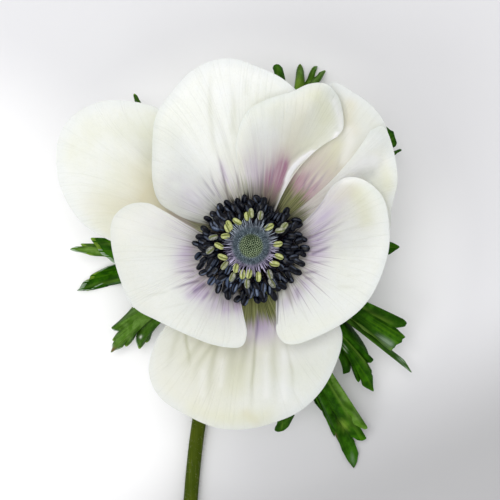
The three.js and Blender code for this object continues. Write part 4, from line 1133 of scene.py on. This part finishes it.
def buildStem():
    rng = random.Random(4)
    path = stemPath()
    bm = bmesh.new()
    bend = heading(stem["bendHeading"])
    across = Vector((-bend.y, bend.x, 0))
    for _ in range(stem["hairs"]):
        i = rng.randrange(8, len(path) - 1)
        point = path[i][0].lerp(path[i + 1][0], rng.random())
        way = (path[i + 1][0] - path[i][0]).normalized()
        side = (across - way * across.dot(way)).normalized()
        up = side.cross(way)
        angle = rng.uniform(0, 2 * math.pi)
        out = side * math.cos(angle) + up * math.sin(angle)
        if point.z < 2.5 and out.z < -0.3:
            continue  # none between the stem and the ground
        out = (out + way * rng.uniform(-0.5, 0.5)).normalized()
        root = point + out * (0.93 * path[i][1])
        tip = root + out * rng.uniform(*stem["hairLength"])
        tip.z = max(tip.z, 0.1)
        layAlong(bm, hairShape, [root, tip], stem["hairRadii"], [1.0, 1.0])
    last = len(path) - 1
    body = bmesh.ops.create_grid(bm, x_segments=28, y_segments=last, size=0.5)["verts"]
    for vert in body:
        i = round((vert.co.y + 0.5) * last)
        way = (path[min(i + 1, last)][0] - path[max(i - 1, 0)][0]).normalized()
        side = (across - way * across.dot(way)).normalized()
        up = way.cross(side)
        angle = 2 * math.pi * (vert.co.x + 0.5)
        ridge = 1 - stem["ribDepth"] * (0.5 + 0.5 * math.cos(stem["ribs"] * angle))
        offset = side * math.cos(angle) + up * math.sin(angle)
        vert.co = place(*(path[i][0] + offset * (path[i][1] * ridge)))
    bmesh.ops.remove_doubles(bm, verts=body, dist=1e-6)
    bmesh.ops.holes_fill(bm, edges=[e for e in bm.edges if e.is_boundary], sides=0)
    bmesh.ops.recalc_face_normals(bm, faces=bm.faces)
    piece = addObject("stem_body", bm, stemMaterial())
    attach(piece, "root")
    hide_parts("stem")


buildStem()
print("stem built")


studio = dict(
    # paper is the floor's own colour; the pool and glow are painted light and the shade painted shade
    floor=dict(paper=(0.7, 0.7, 0.715), paintedLightPool=(0.89, 0.89, 0.89), glow=(0.96, 0.96, 0.96),
               shade=(0.43, 0.43, 0.435)),
    sky=(0.98, 0.98, 1, 1), skyStrength=0.79, aim=(0, 0.05, 0.03),
    # place, power and colour
    lamps=dict(
        window=((-0.1, 0.14, 0.68), 1.72, (1, 0.99, 0.97)),
        fill=((-0.3, -0.2, 0.45), 0.7, (0.97, 0.98, 1)),
    ),
    lampSize=0.35, lens=180, eye=(-0.24, -0.96, 628),
)


def floorMaterial():
    n = Nodes("floor_paper")
    colors = studio["floor"]
    low = n.minus(n.times(n.axis(n.place(), "X"), 0.45), n.axis(n.place(), "Y"))
    # painted light: a pool of light towards the lower left, and a lighter ring round the flower that paints
    # out its cast shadow; painted shade darkens the floor towards the lower right
    paper = n.mix(n.ramp(n.awayFrom(-100, -42), 106, 70), colors["paper"], colors["paintedLightPool"])
    color = n.coat(
        paper, colors,
        glow=n.ramp(n.awayFrom(0, 0), 58, 34),
        shade=n.ramp(low, (39 - flowerY) * mm, (80 - flowerY) * mm),
    )
    return n.finish(color, Roughness=0.8, Specular_IOR_Level=0.1)


def addLamp(name, position, power, color):
    data = bpy.data.lights.new(name, "AREA")
    data.shape = "DISK"
    data.size = studio["lampSize"]
    data.energy = power
    data.color = color
    lamp = bpy.data.objects.new(name, data)
    lamp.location = position
    aim = Vector(studio["aim"]) - Vector(position)
    lamp.rotation_mode = "QUATERNION"
    lamp.rotation_quaternion = aim.to_track_quat("-Z", "Y")
    scene.collection.objects.link(lamp)


def buildStage():
    bpy.ops.mesh.primitive_plane_add(size=4, location=(0, 0, 0))
    floor = bpy.context.object
    floor.name = "floor"
    floor.data.materials.append(floorMaterial())

    world = bpy.data.worlds.new("studio")
    world.use_nodes = True
    sky = world.node_tree.nodes["Background"].inputs
    sky["Color"].default_value = studio["sky"]
    sky["Strength"].default_value = studio["skyStrength"]
    scene.world = world
    for name, lamp in studio["lamps"].items():
        addLamp(name, *lamp)

    camera = bpy.data.cameras.new("camera")
    camera.sensor_width = 36
    camera.lens = studio["lens"]
    camera.clip_start, camera.clip_end = 0.01, 20
    holder = bpy.data.objects.new("camera", camera)
    holder.location = place(*studio["eye"])
    scene.collection.objects.link(holder)
    scene.camera = holder
    scene.view_settings.view_transform = "Standard"


buildStage()
print("stage built")
